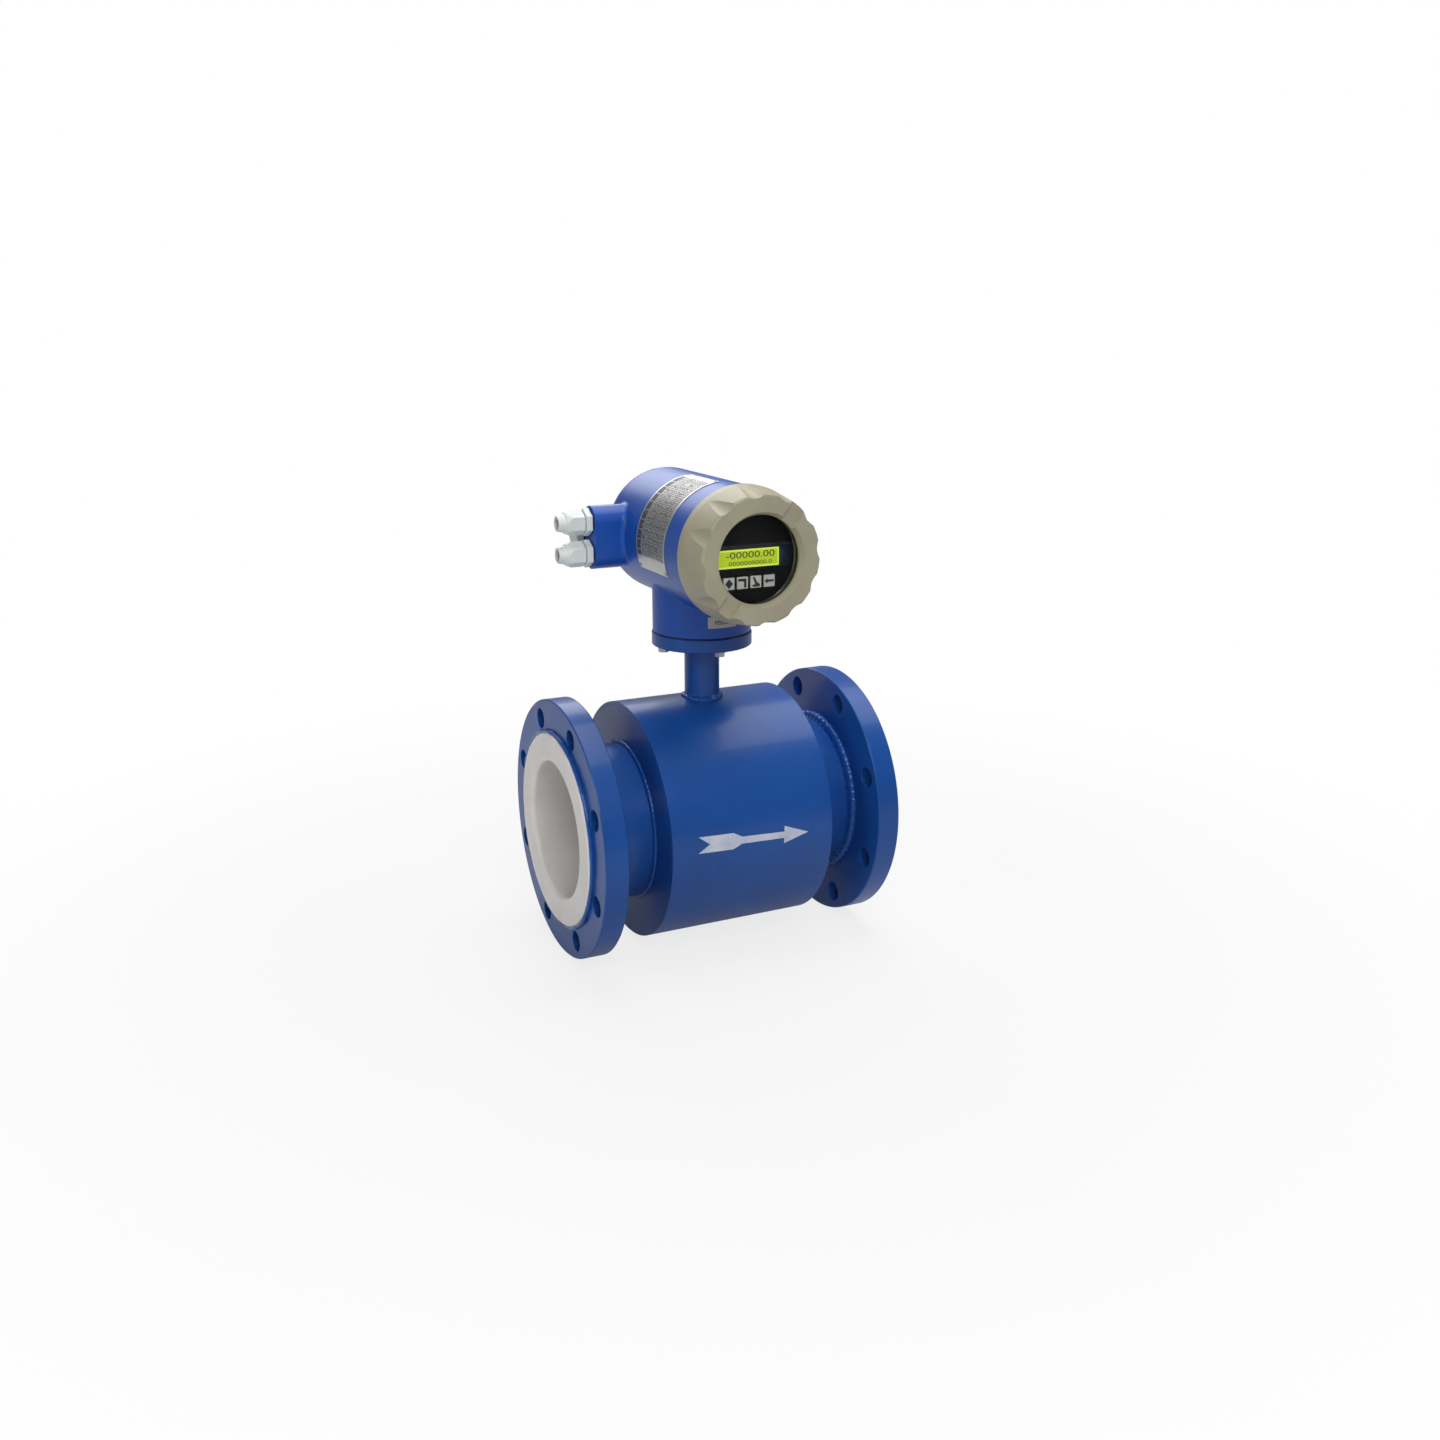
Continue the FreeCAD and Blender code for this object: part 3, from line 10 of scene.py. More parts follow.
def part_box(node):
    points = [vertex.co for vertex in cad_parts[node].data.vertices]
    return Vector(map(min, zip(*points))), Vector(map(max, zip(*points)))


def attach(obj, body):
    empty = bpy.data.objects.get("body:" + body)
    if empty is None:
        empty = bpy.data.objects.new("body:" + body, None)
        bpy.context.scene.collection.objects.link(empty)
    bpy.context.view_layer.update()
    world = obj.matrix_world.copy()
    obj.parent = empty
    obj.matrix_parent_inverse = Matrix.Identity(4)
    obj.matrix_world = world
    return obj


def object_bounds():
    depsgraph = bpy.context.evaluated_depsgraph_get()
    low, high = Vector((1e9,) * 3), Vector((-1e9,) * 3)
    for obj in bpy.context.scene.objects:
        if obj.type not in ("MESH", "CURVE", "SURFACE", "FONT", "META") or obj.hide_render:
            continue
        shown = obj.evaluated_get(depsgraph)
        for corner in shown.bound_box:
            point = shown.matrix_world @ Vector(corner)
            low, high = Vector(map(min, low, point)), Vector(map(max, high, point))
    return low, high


bl_info = {
    "name": "Electromagnetic flow meter",
    "version": (1, 0, 0),
    "blender": (4, 5, 0),
    "location": "View3D > Sidebar > Flow Meter",
    "description": "Dresses a flanged electromagnetic flow meter and sets up its studio",
    "category": "Object",
}

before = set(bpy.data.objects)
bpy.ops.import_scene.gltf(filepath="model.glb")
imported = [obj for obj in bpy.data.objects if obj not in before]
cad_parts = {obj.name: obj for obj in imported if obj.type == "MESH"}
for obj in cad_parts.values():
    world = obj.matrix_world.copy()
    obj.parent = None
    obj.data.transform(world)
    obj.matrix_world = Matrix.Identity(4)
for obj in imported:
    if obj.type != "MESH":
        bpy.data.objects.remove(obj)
CAD_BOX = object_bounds()

MM = 0.001
TURN = 2 * math.pi
CASE_LOW, CASE_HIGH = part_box("coil_case")
CASE_RADIUS = CASE_HIGH.z
PIPE_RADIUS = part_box("measuring_tube")[1].z
FLARE_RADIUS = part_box("liner")[1].z
FACE_LOW, FACE_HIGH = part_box("inlet_flange")
FAR_LOW, FAR_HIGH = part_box("outlet_flange")
COVER_LOW, COVER_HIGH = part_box("front_cover")
PLATE_LOW, PLATE_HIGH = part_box("nameplate")
SCREEN_LOW, SCREEN_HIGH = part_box("lcd_module")
HEAD_X = (COVER_LOW.x + COVER_HIGH.x) / 2
HEAD_Z = (COVER_LOW.z + COVER_HIGH.z) / 2
CREASE = math.radians(35)
SAME_SPOT = 0.002 * MM

# The thread on the housing's nose that the cover screws onto.
COVER_PITCH = 2.0 * MM
THREAD_RADIUS = 63.0 * MM

# The line scored across the inlet flange: how far below the axis it lies, and its slope.
SCORE_DROP = 113.5 * MM
SCORE_SLOPE = 0.06

# The print on the nameplate: how far below the level the plate begins, the bare edge round the
# print, the part of the arc that is printed, and how far the marks lie apart.
PLATE_START = math.radians(22)
PLATE_EDGE = 2.2 * MM
PRINT_LOW, PRINT_HIGH = 15.0 * MM, 118.0 * MM
BLOCK_PITCH = 10.5 * MM
ROW_PITCH = 7.0 * MM
FIELD_PITCH = 19.0 * MM

# The lit part of the display.
LIT_LOW = Vector((SCREEN_LOW.x + 0.8 * MM, 0.0, SCREEN_LOW.z + 1.0 * MM))
LIT_HIGH = Vector((SCREEN_LOW.x + 71.3 * MM, 0.0, SCREEN_LOW.z + 19.5 * MM))

# Share of the white surround that polished pieces mirror.
MIRRORED = 0.17
# Name, place, side length in metres and watts of each soft lamp, and what they aim at.
LAMPS = (
    ("key_lamp", (-0.3, -2.0, 1.7), 1.2, 29.0),
    ("top_lamp", (0.8, 0.15, 2.2), 1.9, 38.0),
    ("side_lamp", (-1.9, -0.55, 0.9), 0.8, 9.0),
    ("back_lamp", (0.4, 2.0, 1.6), 1.4, 22.0),
)
LAMP_TARGET = Vector((0.17, 0.0, 0.1))
FLOOR_RADIUS = 9.0
# How far from the spot below that target the floor's shadow starts to fade and is gone.
SHADOW_NEAR, SHADOW_FAR = 0.35, 1.1

# Outlines of the keys' signs, in shares of a key's half width from its middle.
KEY_SIGNS = {
    "key_1": [(-0.62, 0), (0, 0.72), (0.62, 0), (0, -0.72)],
    "key_2": [(-0.7, 0.62), (0.62, 0.62), (0.62, -0.7), (0.24, -0.7), (0.24, 0.1),
              (-0.05, 0.24), (-0.7, 0.24)],
    "key_3": [(-0.55, 0.7), (-0.2, 0.7), (0.2, -0.1), (0.62, -0.34), (0.62, -0.7),
              (-0.55, -0.7), (-0.55, -0.4), (-0.1, -0.34)],
    "key_4": [(-0.75, 0.0), (-0.3, 0.42), (-0.3, 0.16), (0.72, 0.16), (0.72, -0.16),
              (-0.3, -0.16), (-0.3, -0.42)],
}


class Shade:
    """A shader socket that takes part in Python sums."""

    def __init__(self, finish, socket):
        self.finish = finish
        self.socket = socket

    def sum(self, operation, first, second=0.0):
        """A Math node on two values."""
        return self.finish.node("ShaderNodeMath", {"operation": operation}, {0: first, 1: second})

    def __add__(self, other):
        return self.sum("ADD", self, other)

    def __radd__(self, other):
        return self.sum("ADD", other, self)

    def __sub__(self, other):
        return self.sum("SUBTRACT", self, other)

    def __rsub__(self, other):
        return self.sum("SUBTRACT", other, self)

    def __mul__(self, other):
        return self.sum("MULTIPLY", self, other)

    def __rmul__(self, other):
        return self.sum("MULTIPLY", other, self)

    def __pow__(self, other):
        return self.sum("POWER", self, other)

    def __mod__(self, other):
        return self.sum("FLOORED_MODULO", self, other)

    def __abs__(self):
        return self.sum("ABSOLUTE", self)

    def sine(self):
        """The sine of this angle."""
        return self.sum("SINE", self)

    def least(self, other):
        """The smaller of the two."""
        return self.sum("MINIMUM", self, other)

    def arctangent(self, across):
        """The angle that rises by this value over across."""
        return self.sum("ARCTAN2", self, across)

    def clamped(self):
        """The value kept between 0 and 1."""
        return self.finish.node("ShaderNodeClamp", None, {"Value": self})


class Finish:
    """A procedural material, put together node by node."""

    def __init__(self, owner):
        owner.use_nodes = True
        self.owner = owner
        self.tree = owner.node_tree
        self.tree.nodes.clear()

    def node(self, kind, settings=None, inputs=None, output=0):
        """Adds a node, sets it up and gives one of its outputs."""
        made = self.tree.nodes.new(kind)
        for name, value in (settings or {}).items():
            setattr(made, name, value)
        for name, value in (inputs or {}).items():
            if isinstance(value, Shade):
                self.tree.links.new(value.socket, made.inputs[name])
            else:
                made.inputs[name].default_value = value
        return Shade(self, made.outputs[output] if made.outputs else None)

    def place(self):
        """Where a point of the piece is, in metres."""
        return self.node("ShaderNodeTexCoord", output="Object")

    def split(self, vector):
        """The X, Y and Z of a vector."""
        first = self.node("ShaderNodeSeparateXYZ", inputs={0: vector})
        return [Shade(self, out) for out in first.socket.node.outputs]

    def grain(self, scale, detail=2.0, rough=0.5, vector=None):
        """Soft noise from 0 to 1; scale is in features to the metre."""
        inputs = {"Vector": vector or self.place(), "Scale": scale}
        inputs.update({"Detail": detail, "Roughness": rough})
        return self.node("ShaderNodeTexNoise", None, inputs)

    def step(self, value, low, high):
        """Rises smoothly from 0 at low to 1 at high."""
        inputs = {"Value": value, "From Min": low, "From Max": high}
        return self.node("ShaderNodeMapRange", {"interpolation_type": "SMOOTHSTEP"}, inputs)

    def mix(self, share, first, second):
        """A colour between first and second."""
        inputs = {0: share, 6: as_paint(first), 7: as_paint(second)}
        return self.node("ShaderNodeMix", {"data_type": "RGBA"}, inputs, 2)

    def bump(self, height, depth, strength=1.0, under=None):
        """A normal tilted by height, where 1 stands depth metres out."""
        inputs = {"Height": height, "Distance": depth, "Strength": strength}
        if under is not None:
            inputs["Normal"] = under
        return self.node("ShaderNodeBump", None, inputs)

    def soft_edges(self, radius):
        """Normals that round off every sharp edge."""
        return self.node("ShaderNodeBevel", {"samples": 4}, {"Radius": radius})

    def surface(self, colour, rough, normal=None, **others):
        """Ends the material in a Principled surface; others are further inputs, such as ior."""
        inputs = {"Base Color": as_paint(colour), "Roughness": rough}
        if normal is not None:
            inputs["Normal"] = normal
        for name, value in others.items():
            inputs[name.replace("_", " ").title().replace("Ior", "IOR")] = value
        shader = self.node("ShaderNodeBsdfPrincipled", None, inputs, "BSDF")
        self.end(shader)
        return self.owner

    def end(self, shader, kind="ShaderNodeOutputMaterial"):
        """Joins a shader to the material's or the world's output."""
        self.node(kind, None, {"Surface": shader})


def as_paint(colour):
    """A colour as a socket takes it."""
    if isinstance(colour, Shade):
        return colour
    return (*tuple(colour)[:3], 1.0)


def scaled(colour, share):
    """A lighter or darker colour."""
    return tuple(min(1.0, part * share) for part in tuple(colour)[:3])


def new_finish(name):
    """An empty material."""
    return Finish(bpy.data.materials.new(name))


# ---------------------------------------------------------------- finishes


def enamel(name, colour, rough=0.30, scored=False):
    """Thick gloss enamel, a little uneven, with specks in it and, if scored, a thin line."""
    f = new_finish(name)
    cloud = f.grain(7.0, 3.0)
    blotch = f.grain(38.0, 4.0, 0.6)
    peel = f.grain(260.0, 2.0, 0.4)
    specks = f.step(f.grain(620.0, 1.0), 0.70, 0.78)
    paint = f.mix(f.step(cloud, 0.3, 0.7), scaled(colour, 0.88), scaled(colour, 1.10))
    paint = f.mix(f.step(blotch, 0.52, 0.75) * 0.22, paint, scaled(colour, 1.5))
    paint = f.mix(specks * 0.35, paint, scaled(colour, 0.35))
    gloss = rough + 0.10 * blotch + 0.12 * specks
    height = peel * 0.75 + specks * 0.5
    if scored:
        _, y, z = f.split(f.place())
        line = 1 - f.step(abs(z + SCORE_DROP + y * SCORE_SLOPE), 0.2 * MM, 0.6 * MM)
        paint = f.mix(line * 0.9, paint, (0.006, 0.008, 0.014))
        height = height - line * 1.5
    normal = f.bump(height, 0.12 * MM, 0.55, f.soft_edges(1.1 * MM))
    shine = {"coat_weight": 0.14, "coat_roughness": 0.10, "specular_ior_level": 0.3}
    return f.surface(paint, gloss, normal, **shine)


def powder_coat(name, colour):
    """Even powder coat, and bare threaded aluminium on the nose that the cover screws onto."""
    f = new_finish(name)
    x, y, z = f.split(f.place())
    across = x - HEAD_X
    up = z - HEAD_Z
    radius = (across * across + up * up) ** 0.5
    nose = 1 - f.step(y, COVER_HIGH.y - 0.4 * MM, COVER_HIGH.y + 0.4 * MM)
    bare = nose * (1 - f.step(radius, THREAD_RADIUS - 0.2 * MM, THREAD_RADIUS + 0.2 * MM))
    cloud = f.grain(11.0, 3.0)
    grit = f.grain(900.0, 2.0, 0.6)
    fine = f.step(f.grain(520.0, 1.0), 0.68, 0.76)
    paint = f.mix(f.step(cloud, 0.3, 0.7), scaled(colour, 0.90), scaled(colour, 1.08))
    paint = f.mix(fine * 0.25, paint, scaled(colour, 1.5))
    paint = f.mix(bare, paint, (0.55, 0.55, 0.54))
    thread = (y * (TURN / COVER_PITCH)).sine()
    height = grit * 0.5 * (1 - bare) + thread * bare * 4.0
    normal = f.bump(height, 0.1 * MM, 0.6, f.soft_edges(0.9 * MM))
    gloss = 0.34 + 0.10 * grit
    shine = {"coat_weight": 0.10, "coat_roughness": 0.2, "specular_ior_level": 0.35}
    return f.surface(paint, gloss, normal, metallic=bare, **shine)


def cast_cover(name, colour):
    """Satin powder coat on a casting, with faint mottling and handling marks."""
    f = new_finish(name)
    cloud = f.grain(14.0, 4.0, 0.6)
    grit = f.grain(640.0, 3.0, 0.55)
    pits = f.step(f.grain(210.0, 2.0, 0.5), 0.66, 0.76)
    marks = f.step(f.grain(90.0, 5.0, 0.7), 0.58, 0.72)
    paint = f.mix(f.step(cloud, 0.3, 0.7), scaled(colour, 0.90), scaled(colour, 1.07))
    paint = f.mix(grit * 0.25, paint, scaled(colour, 0.62))
    paint = f.mix(marks * 0.18, paint, scaled(colour, 0.55))
    normal = f.bump(grit * 0.7 - pits * 0.6, 0.14 * MM, 0.6, f.soft_edges(1.0 * MM))
    return f.surface(paint, 0.40 + 0.12 * grit, normal)


def fluoropolymer(name, colour):
    """Smooth waxy white sheet with a few scuffs."""
    f = new_finish(name)
    wax = f.grain(24.0, 3.0, 0.5)
    scuffs = f.step(f.grain(160.0, 4.0, 0.7), 0.62, 0.74)
    dots = f.step(f.grain(330.0, 1.0), 0.75, 0.80)
    paint = f.mix(f.step(wax, 0.3, 0.7), scaled(colour, 0.95), scaled(colour, 1.03))
    paint = f.mix(scuffs * 0.28, paint, (0.52, 0.47, 0.41))
    paint = f.mix(dots * 0.5, paint, (0.30, 0.27, 0.24))
    normal = f.bump(wax + scuffs * 0.1, 0.6 * MM, 0.35)
    return f.surface(paint, 0.32 + 0.15 * scuffs, normal)


def metal(name, colour, rough, tint=None):
    """Bare or plated metal; tint is the colour of its clouded spots."""
    f = new_finish(name)
    fine = f.grain(700.0, 3.0, 0.6)
    cloud = f.grain(45.0, 3.0)
    shade = f.mix(f.step(cloud, 0.3, 0.7), scaled(colour, 0.82), colour)
    shade = f.mix(f.step(cloud, 0.5, 0.8) * 0.5, shade, tint or scaled(colour, 0.7))
    normal = f.bump(fine, 0.04 * MM, 0.5)
    return f.surface(shade, rough + 0.18 * fine, normal, metallic=1.0)


def moulded(name, colour, rough=0.42):
    """Injection-moulded plastic with a light texture."""
    f = new_finish(name)
    fine = f.grain(800.0, 2.0, 0.5)
    cloud = f.grain(30.0, 2.0)
    marks = f.step(f.grain(150.0, 4.0, 0.65), 0.60, 0.74)
    shade = f.mix(f.step(cloud, 0.3, 0.7), scaled(colour, 0.93), scaled(colour, 1.04))
    shade = f.mix(marks * 0.15, shade, scaled(colour, 0.5))
    normal = f.bump(fine, 0.06 * MM, 0.5)
    return f.surface(shade, rough + 0.12 * fine, normal)


def rubber(name):
    """Black rubber with a grey bloom."""
    f = new_finish(name)
    fine = f.grain(500.0, 3.0, 0.6)
    bloom = f.step(f.grain(40.0, 3.0), 0.45, 0.8)
    shade = f.mix(bloom * 0.6, (0.010, 0.010, 0.011), (0.030, 0.030, 0.031))
    return f.surface(shade, 0.60 + 0.25 * fine, f.bump(fine, 0.1 * MM, 0.5))


def winding(name):
    """Lacquered copper wire laid side by side, with painted shade in the grooves between the
    wires.
    """
    f = new_finish(name)
    x, y, _ = f.split(f.place())
    wire = 1.1 * MM
    ridge = ((x + y * 0.02) * (TURN / wire)).sine() * 0.5 + 0.5
    # Painted shade: the copper darkens into the grooves between the wires and is brightest on
    # their crests.
    shade = f.mix(ridge, (0.20, 0.06, 0.022), (0.66, 0.27, 0.12))
    return f.surface(shade, 0.30 + 0.2 * (1 - ridge), f.bump(ridge, 0.3 * MM, 0.8), metallic=0.8)


def board(name):
    """Green solder resist over copper tracks, with pale pads."""
    f = new_finish(name)
    place = f.place()
    cells = f.node(
        "ShaderNodeTexVoronoi",
        {"feature": "F1", "distance": "CHEBYCHEV"},
        {"Vector": place, "Scale": 190.0, "Randomness": 0.35},
        "Distance",
    )
    tracks = f.node(
        "ShaderNodeTexBrick",
        {"offset": 0.37, "squash": 1.6},
        {"Vector": place, "Scale": 70.0, "Mortar Size": 0.03},
        "Fac",
    )
    pads = 1 - f.step(cells, 0.12, 0.16)
    shade = f.mix(tracks * 0.6, (0.010, 0.11, 0.045), (0.02, 0.26, 0.10))
    shade = f.mix(pads, shade, (0.55, 0.52, 0.42))
    return f.surface(shade, 0.32 + 0.1 * pads, f.bump(tracks + pads, 0.08 * MM, 0.6))


def window(name):
    """Clear float glass with a faint haze."""
    f = new_finish(name)
    haze = f.step(f.grain(60.0, 3.0), 0.45, 0.8)
    alpha = 0.05 + 0.02 * haze
    return f.surface((0.02, 0.03, 0.028), 0.03 + 0.03 * haze, alpha=alpha, ior=1.52)


def panel_film(name):
    """Black printed film behind the glass."""
    f = new_finish(name)
    fine = f.grain(420.0, 3.0, 0.6)
    warm = f.step(f.grain(26.0, 2.0), 0.35, 0.75)
    shade = f.mix(warm, (0.0045, 0.005, 0.005), (0.011, 0.011, 0.008))
    normal = f.bump(fine, 0.04 * MM, 0.4)
    return f.surface(shade, 0.42 + 0.15 * fine, normal, specular_ior_level=0.12)


def lit_screen(name, colour, glow):
    """Back-lit display in its dark frame: a bright border and a faint grid of cells."""
    f = new_finish(name)
    x, _, z = f.split(f.place())
    cell_width, cell_height = 3.4 * MM, 2.4 * MM
    sides = (x - LIT_LOW.x).least(LIT_HIGH.x - x)
    edge = sides.least((z - LIT_LOW.z).least(LIT_HIGH.z - z))
    lit = f.step(edge, 0.0, 0.2 * MM)
    border = 1 - f.step(edge, 0.8 * MM, 2.4 * MM)
    cells = (x * (TURN / cell_width)).sine()
    rows = (z * (TURN / cell_height)).sine()
    field = f.mix(f.step(cells * rows, -0.2, 0.9) * 0.35, colour, scaled(colour, 0.72))
    field = f.mix(border * 0.8, field, (0.62, 0.80, 0.10))
    field = f.mix(lit, (0.006, 0.006, 0.006), field)
    return f.surface(field, 0.25 + 0.05 * rows, emission_color=field, emission_strength=glow)


def name_sheet(name, marks, tone=1.0):
    """Satin metal sheet; marks gives its printed share, tone makes it duller."""
    f = new_finish(name)
    dark = marks(f)
    brushed = f.node(
        "ShaderNodeMapping", None, {"Vector": f.place(), "Scale": (1.0, 0.06, 1.0)}
    )
    fine = f.grain(1400.0, 2.0, 0.5, brushed)
    cloud = f.grain(35.0, 3.0)
    dull, bright = scaled((0.42, 0.42, 0.41), tone), scaled((0.62, 0.62, 0.60), tone)
    sheet = f.mix(fine, dull, bright)
    sheet = f.mix(f.step(cloud, 0.5, 0.8) * 0.3, sheet, (0.34, 0.33, 0.31))
    sheet = f.mix(dark, sheet, (0.035, 0.034, 0.036))
    normal = f.bump(fine - dark, 0.03 * MM, 0.5)
    return f.surface(sheet, 0.34 + 0.2 * dark, normal, metallic=0.75 * (1 - dark))


def ruled_fields(f):
    """A grey ground with rows of short strokes, and a column of dark blocks by the rear edge."""
    x, y, z = f.split(f.place())
    # Arc runs up round the housing; rear and front are the distances from those edges.
    angle = (z - HEAD_Z).arctangent(HEAD_X - x)
    arc = (angle + PLATE_START) * (PLATE_HIGH.z - HEAD_Z)
    rear = PLATE_HIGH.y - y
    front = y - PLATE_LOW.y
    inside = f.step(arc, PRINT_LOW, PRINT_LOW + 0.6 * MM)
    inside = inside * (1 - f.step(arc, PRINT_HIGH, PRINT_HIGH + 0.6 * MM))
    for distance in (rear, front):
        inside = inside * f.step(distance, PLATE_EDGE, PLATE_EDGE + 0.4 * MM)
    column = 1 - f.step(rear, 12.8 * MM, 13.2 * MM)
    block = f.step(abs((arc % BLOCK_PITCH) - 5.2 * MM), 4.6 * MM, 4.9 * MM)
    blobs = column * (1 - block) * f.step(f.grain(330.0, 3.0), 0.24, 0.50) * 0.9
    field = f.step(rear, 15.0 * MM, 15.4 * MM)
    off_line = abs((arc % ROW_PITCH) - ROW_PITCH / 2)
    line = 1 - f.step(off_line, 0.2 * MM, 0.5 * MM)
    strokes = f.step(f.grain(640.0, 1.0), 0.47, 0.55) * f.step(off_line, 1.2 * MM, 1.6 * MM)
    rules = 1 - f.step(abs((rear % FIELD_PITCH) - 15.2 * MM), 0.2 * MM, 0.4 * MM)
    ink = line + strokes * 0.75 + rules
    ground = 0.34
    return (inside * (ground + blobs + field * (1 - column) * ink)).clamped()


def label_strokes(f):
    """A short line of strokes across the middle of the small label."""
    x, _, z = f.split(f.place())
    low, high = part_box("neck_label")
    middle = (low + high) / 2
    band = 1 - f.step(abs(z - middle.z), 2.0 * MM, 2.4 * MM)
    reach = 1 - f.step(abs(x - middle.x), 9.0 * MM, 9.4 * MM)
    strokes = f.step(f.grain(900.0, 1.0), 0.44, 0.52)
    return band * reach * strokes * 0.85


# ---------------------------------------------------------------- shapes


def add_piece(name, shape, finish, body, smooth=True):
    """Puts a finished mesh in the scene and lets it ride on a body."""
    bmesh.ops.remove_doubles(shape, verts=shape.verts, dist=SAME_SPOT)
    bmesh.ops.recalc_face_normals(shape, faces=shape.faces)
    mesh = bpy.data.meshes.new(name)
    shape.to_mesh(mesh)
    shape.free()
    for face in mesh.polygons:
        face.use_smooth = smooth
    if smooth:
        mesh.set_sharp_from_angle(angle=CREASE)
    mesh.materials.append(finish)
    piece = bpy.data.objects.new(name, mesh)
    bpy.context.scene.collection.objects.link(piece)
    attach(piece, body)


def paint_nodes(finish, *names):
    """Gives CAD nodes a finish."""
    for name in names:
        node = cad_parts[name]
        if not node.material_slots:
            node.data.materials.append(finish)
        for place in node.material_slots:
            place.material = finish


def moved(shape, x, y, z):
    """Shifts a mesh and hands it back."""
    bmesh.ops.translate(shape, vec=(x, y, z), verts=shape.verts)
    return shape


def turned(shape, axis):
    """Gives a mesh a quarter turn about an axis through the origin."""
    quarter = Matrix.Rotation(math.pi / 2, 4, axis)
    bmesh.ops.transform(shape, matrix=quarter, verts=shape.verts)
    return shape


def spun(shape, centre, axis, steps):
    """Turns an outline once round."""
    bmesh.ops.spin(
        shape,
        geom=shape.verts[:] + shape.edges[:],
        cent=centre,
        axis=axis,
        angle=TURN,
        steps=steps,
        use_merge=True,
        use_duplicate=False,
    )
    return shape


def ring_about_x(radius, wire, steps):
    """A plain ring of round wire about the X axis, its middle at the origin."""
    shape = bmesh.new()
    bmesh.ops.create_circle(shape, segments=12, radius=wire)
    moved(turned(shape, "X"), 0, 0, radius)
    return spun(shape, (0, 0, 0), (1, 0, 0), steps)


def weld_ring(radius, wire, ripples, swell, steps, seed):
    """A ring about the X axis that swells and wanders as a weld bead does."""
    shape = ring_about_x(radius, wire, steps)
    for vertex in shape.verts:
        angle = math.atan2(vertex.co.y, vertex.co.z)
        outward = Vector((0, math.sin(angle), math.cos(angle)))
        wander = noise.noise(Vector((outward.y, outward.z, seed)) * 3.1)
        beat = 0.5 + 0.5 * math.cos(ripples * angle + 2.5 * wander)
        lump = noise.noise(Vector((outward.y, outward.z, seed + 9.0)) * 17.0)
        middle = outward * radius
        vertex.co = middle + (vertex.co - middle) * (1 + swell * (beat ** 0.6 + 0.8 * lump))
    return shape


def flat_outline(points):
    """Faces that fill this outline in the XZ plane."""
    shape = bmesh.new()
    shape.faces.new([shape.verts.new((x, 0.0, z)) for x, z in points])
    shape.normal_update()
    bmesh.ops.triangulate(shape, faces=shape.faces, ngon_method="EAR_CLIP")
    return shape


def thickened(shape, thickness):
    """Raises flat faces towards -Y into a thin plate."""
    raised = bmesh.ops.extrude_face_region(shape, geom=shape.faces[:])["geom"]
    front = [item for item in raised if isinstance(item, bmesh.types.BMVert)]
    bmesh.ops.translate(shape, vec=(0.0, -thickness, 0.0), verts=front)
    return shape


def bevel_all(shape, reach):
    """Rounds every edge."""
    bmesh.ops.bevel(
        shape,
        geom=shape.edges[:],
        offset=reach,
        segments=2,
        profile=0.5,
        affect="EDGES",
        material=-1,
    )


def text_shape(words, width, height, thickness):
    """Plain lettering in the XZ plane that fills this box, its middle at the origin."""
    curve = bpy.data.curves.new("lettering", "FONT")
    curve.body = words
    curve.size = height
    curve.extrude = thickness / 2
    writer = bpy.data.objects.new("lettering", curve)
    bpy.context.scene.collection.objects.link(writer)
    bpy.context.view_layer.update()
    finished = writer.evaluated_get(bpy.context.evaluated_depsgraph_get())
    mesh = bpy.data.meshes.new_from_object(finished)
    shape = bmesh.new()
    shape.from_mesh(mesh)
    bpy.data.objects.remove(writer)
    bpy.data.curves.remove(curve)
    bpy.data.meshes.remove(mesh)
    across = [vertex.co.x for vertex in shape.verts]
    up = [vertex.co.y for vertex in shape.verts]
    middle = ((min(across) + max(across)) / 2, (min(up) + max(up)) / 2, 0.0)
    bmesh.ops.translate(shape, vec=-Vector(middle), verts=shape.verts)
    fit = (width / (max(across) - min(across)), height / (max(up) - min(up)), 1.0)
    bmesh.ops.scale(shape, vec=fit, verts=shape.verts)
    return turned(shape, "X")


# ---------------------------------------------------------------- settings


class FlowMeterColours(bpy.types.PropertyGroup):
    """Colours of the paints and mouldings"""

    sensor: bpy.props.FloatVectorProperty(
        name="Sensor enamel",
        description="Gloss enamel on the flanges, pipe and coil case",
        subtype="COLOR", size=3, min=0.0, max=1.0, default=(0.007, 0.070, 0.31),
    )
    converter: bpy.props.FloatVectorProperty(
        name="Converter paint",
        description="Powder coat on the converter housing",
        subtype="COLOR", size=3, min=0.0, max=1.0, default=(0.007, 0.072, 0.38),
    )
    cover: bpy.props.FloatVectorProperty(
        name="Cover paint",
        description="Powder coat on the front cover",
        subtype="COLOR", size=3, min=0.0, max=1.0, default=(0.41, 0.38, 0.27),
    )
    liner: bpy.props.FloatVectorProperty(
        name="Liner",
        description="Fluoropolymer of the liner",
        subtype="COLOR", size=3, min=0.0, max=1.0, default=(0.80, 0.78, 0.75),
    )
    gland: bpy.props.FloatVectorProperty(
        name="Glands",
        description="Nylon of the cable glands and the plug",
        subtype="COLOR", size=3, min=0.0, max=1.0, default=(0.74, 0.79, 0.77),
    )
    screen: bpy.props.FloatVectorProperty(
        name="Screen",
        description="Back light of the display",
        subtype="COLOR", size=3, min=0.0, max=1.0, default=(0.36, 0.48, 0.015),
    )
    screen_glow: bpy.props.FloatProperty(
        name="Screen glow",
        description="Strength of the display's back light",
        min=0.0, default=0.75,
    )


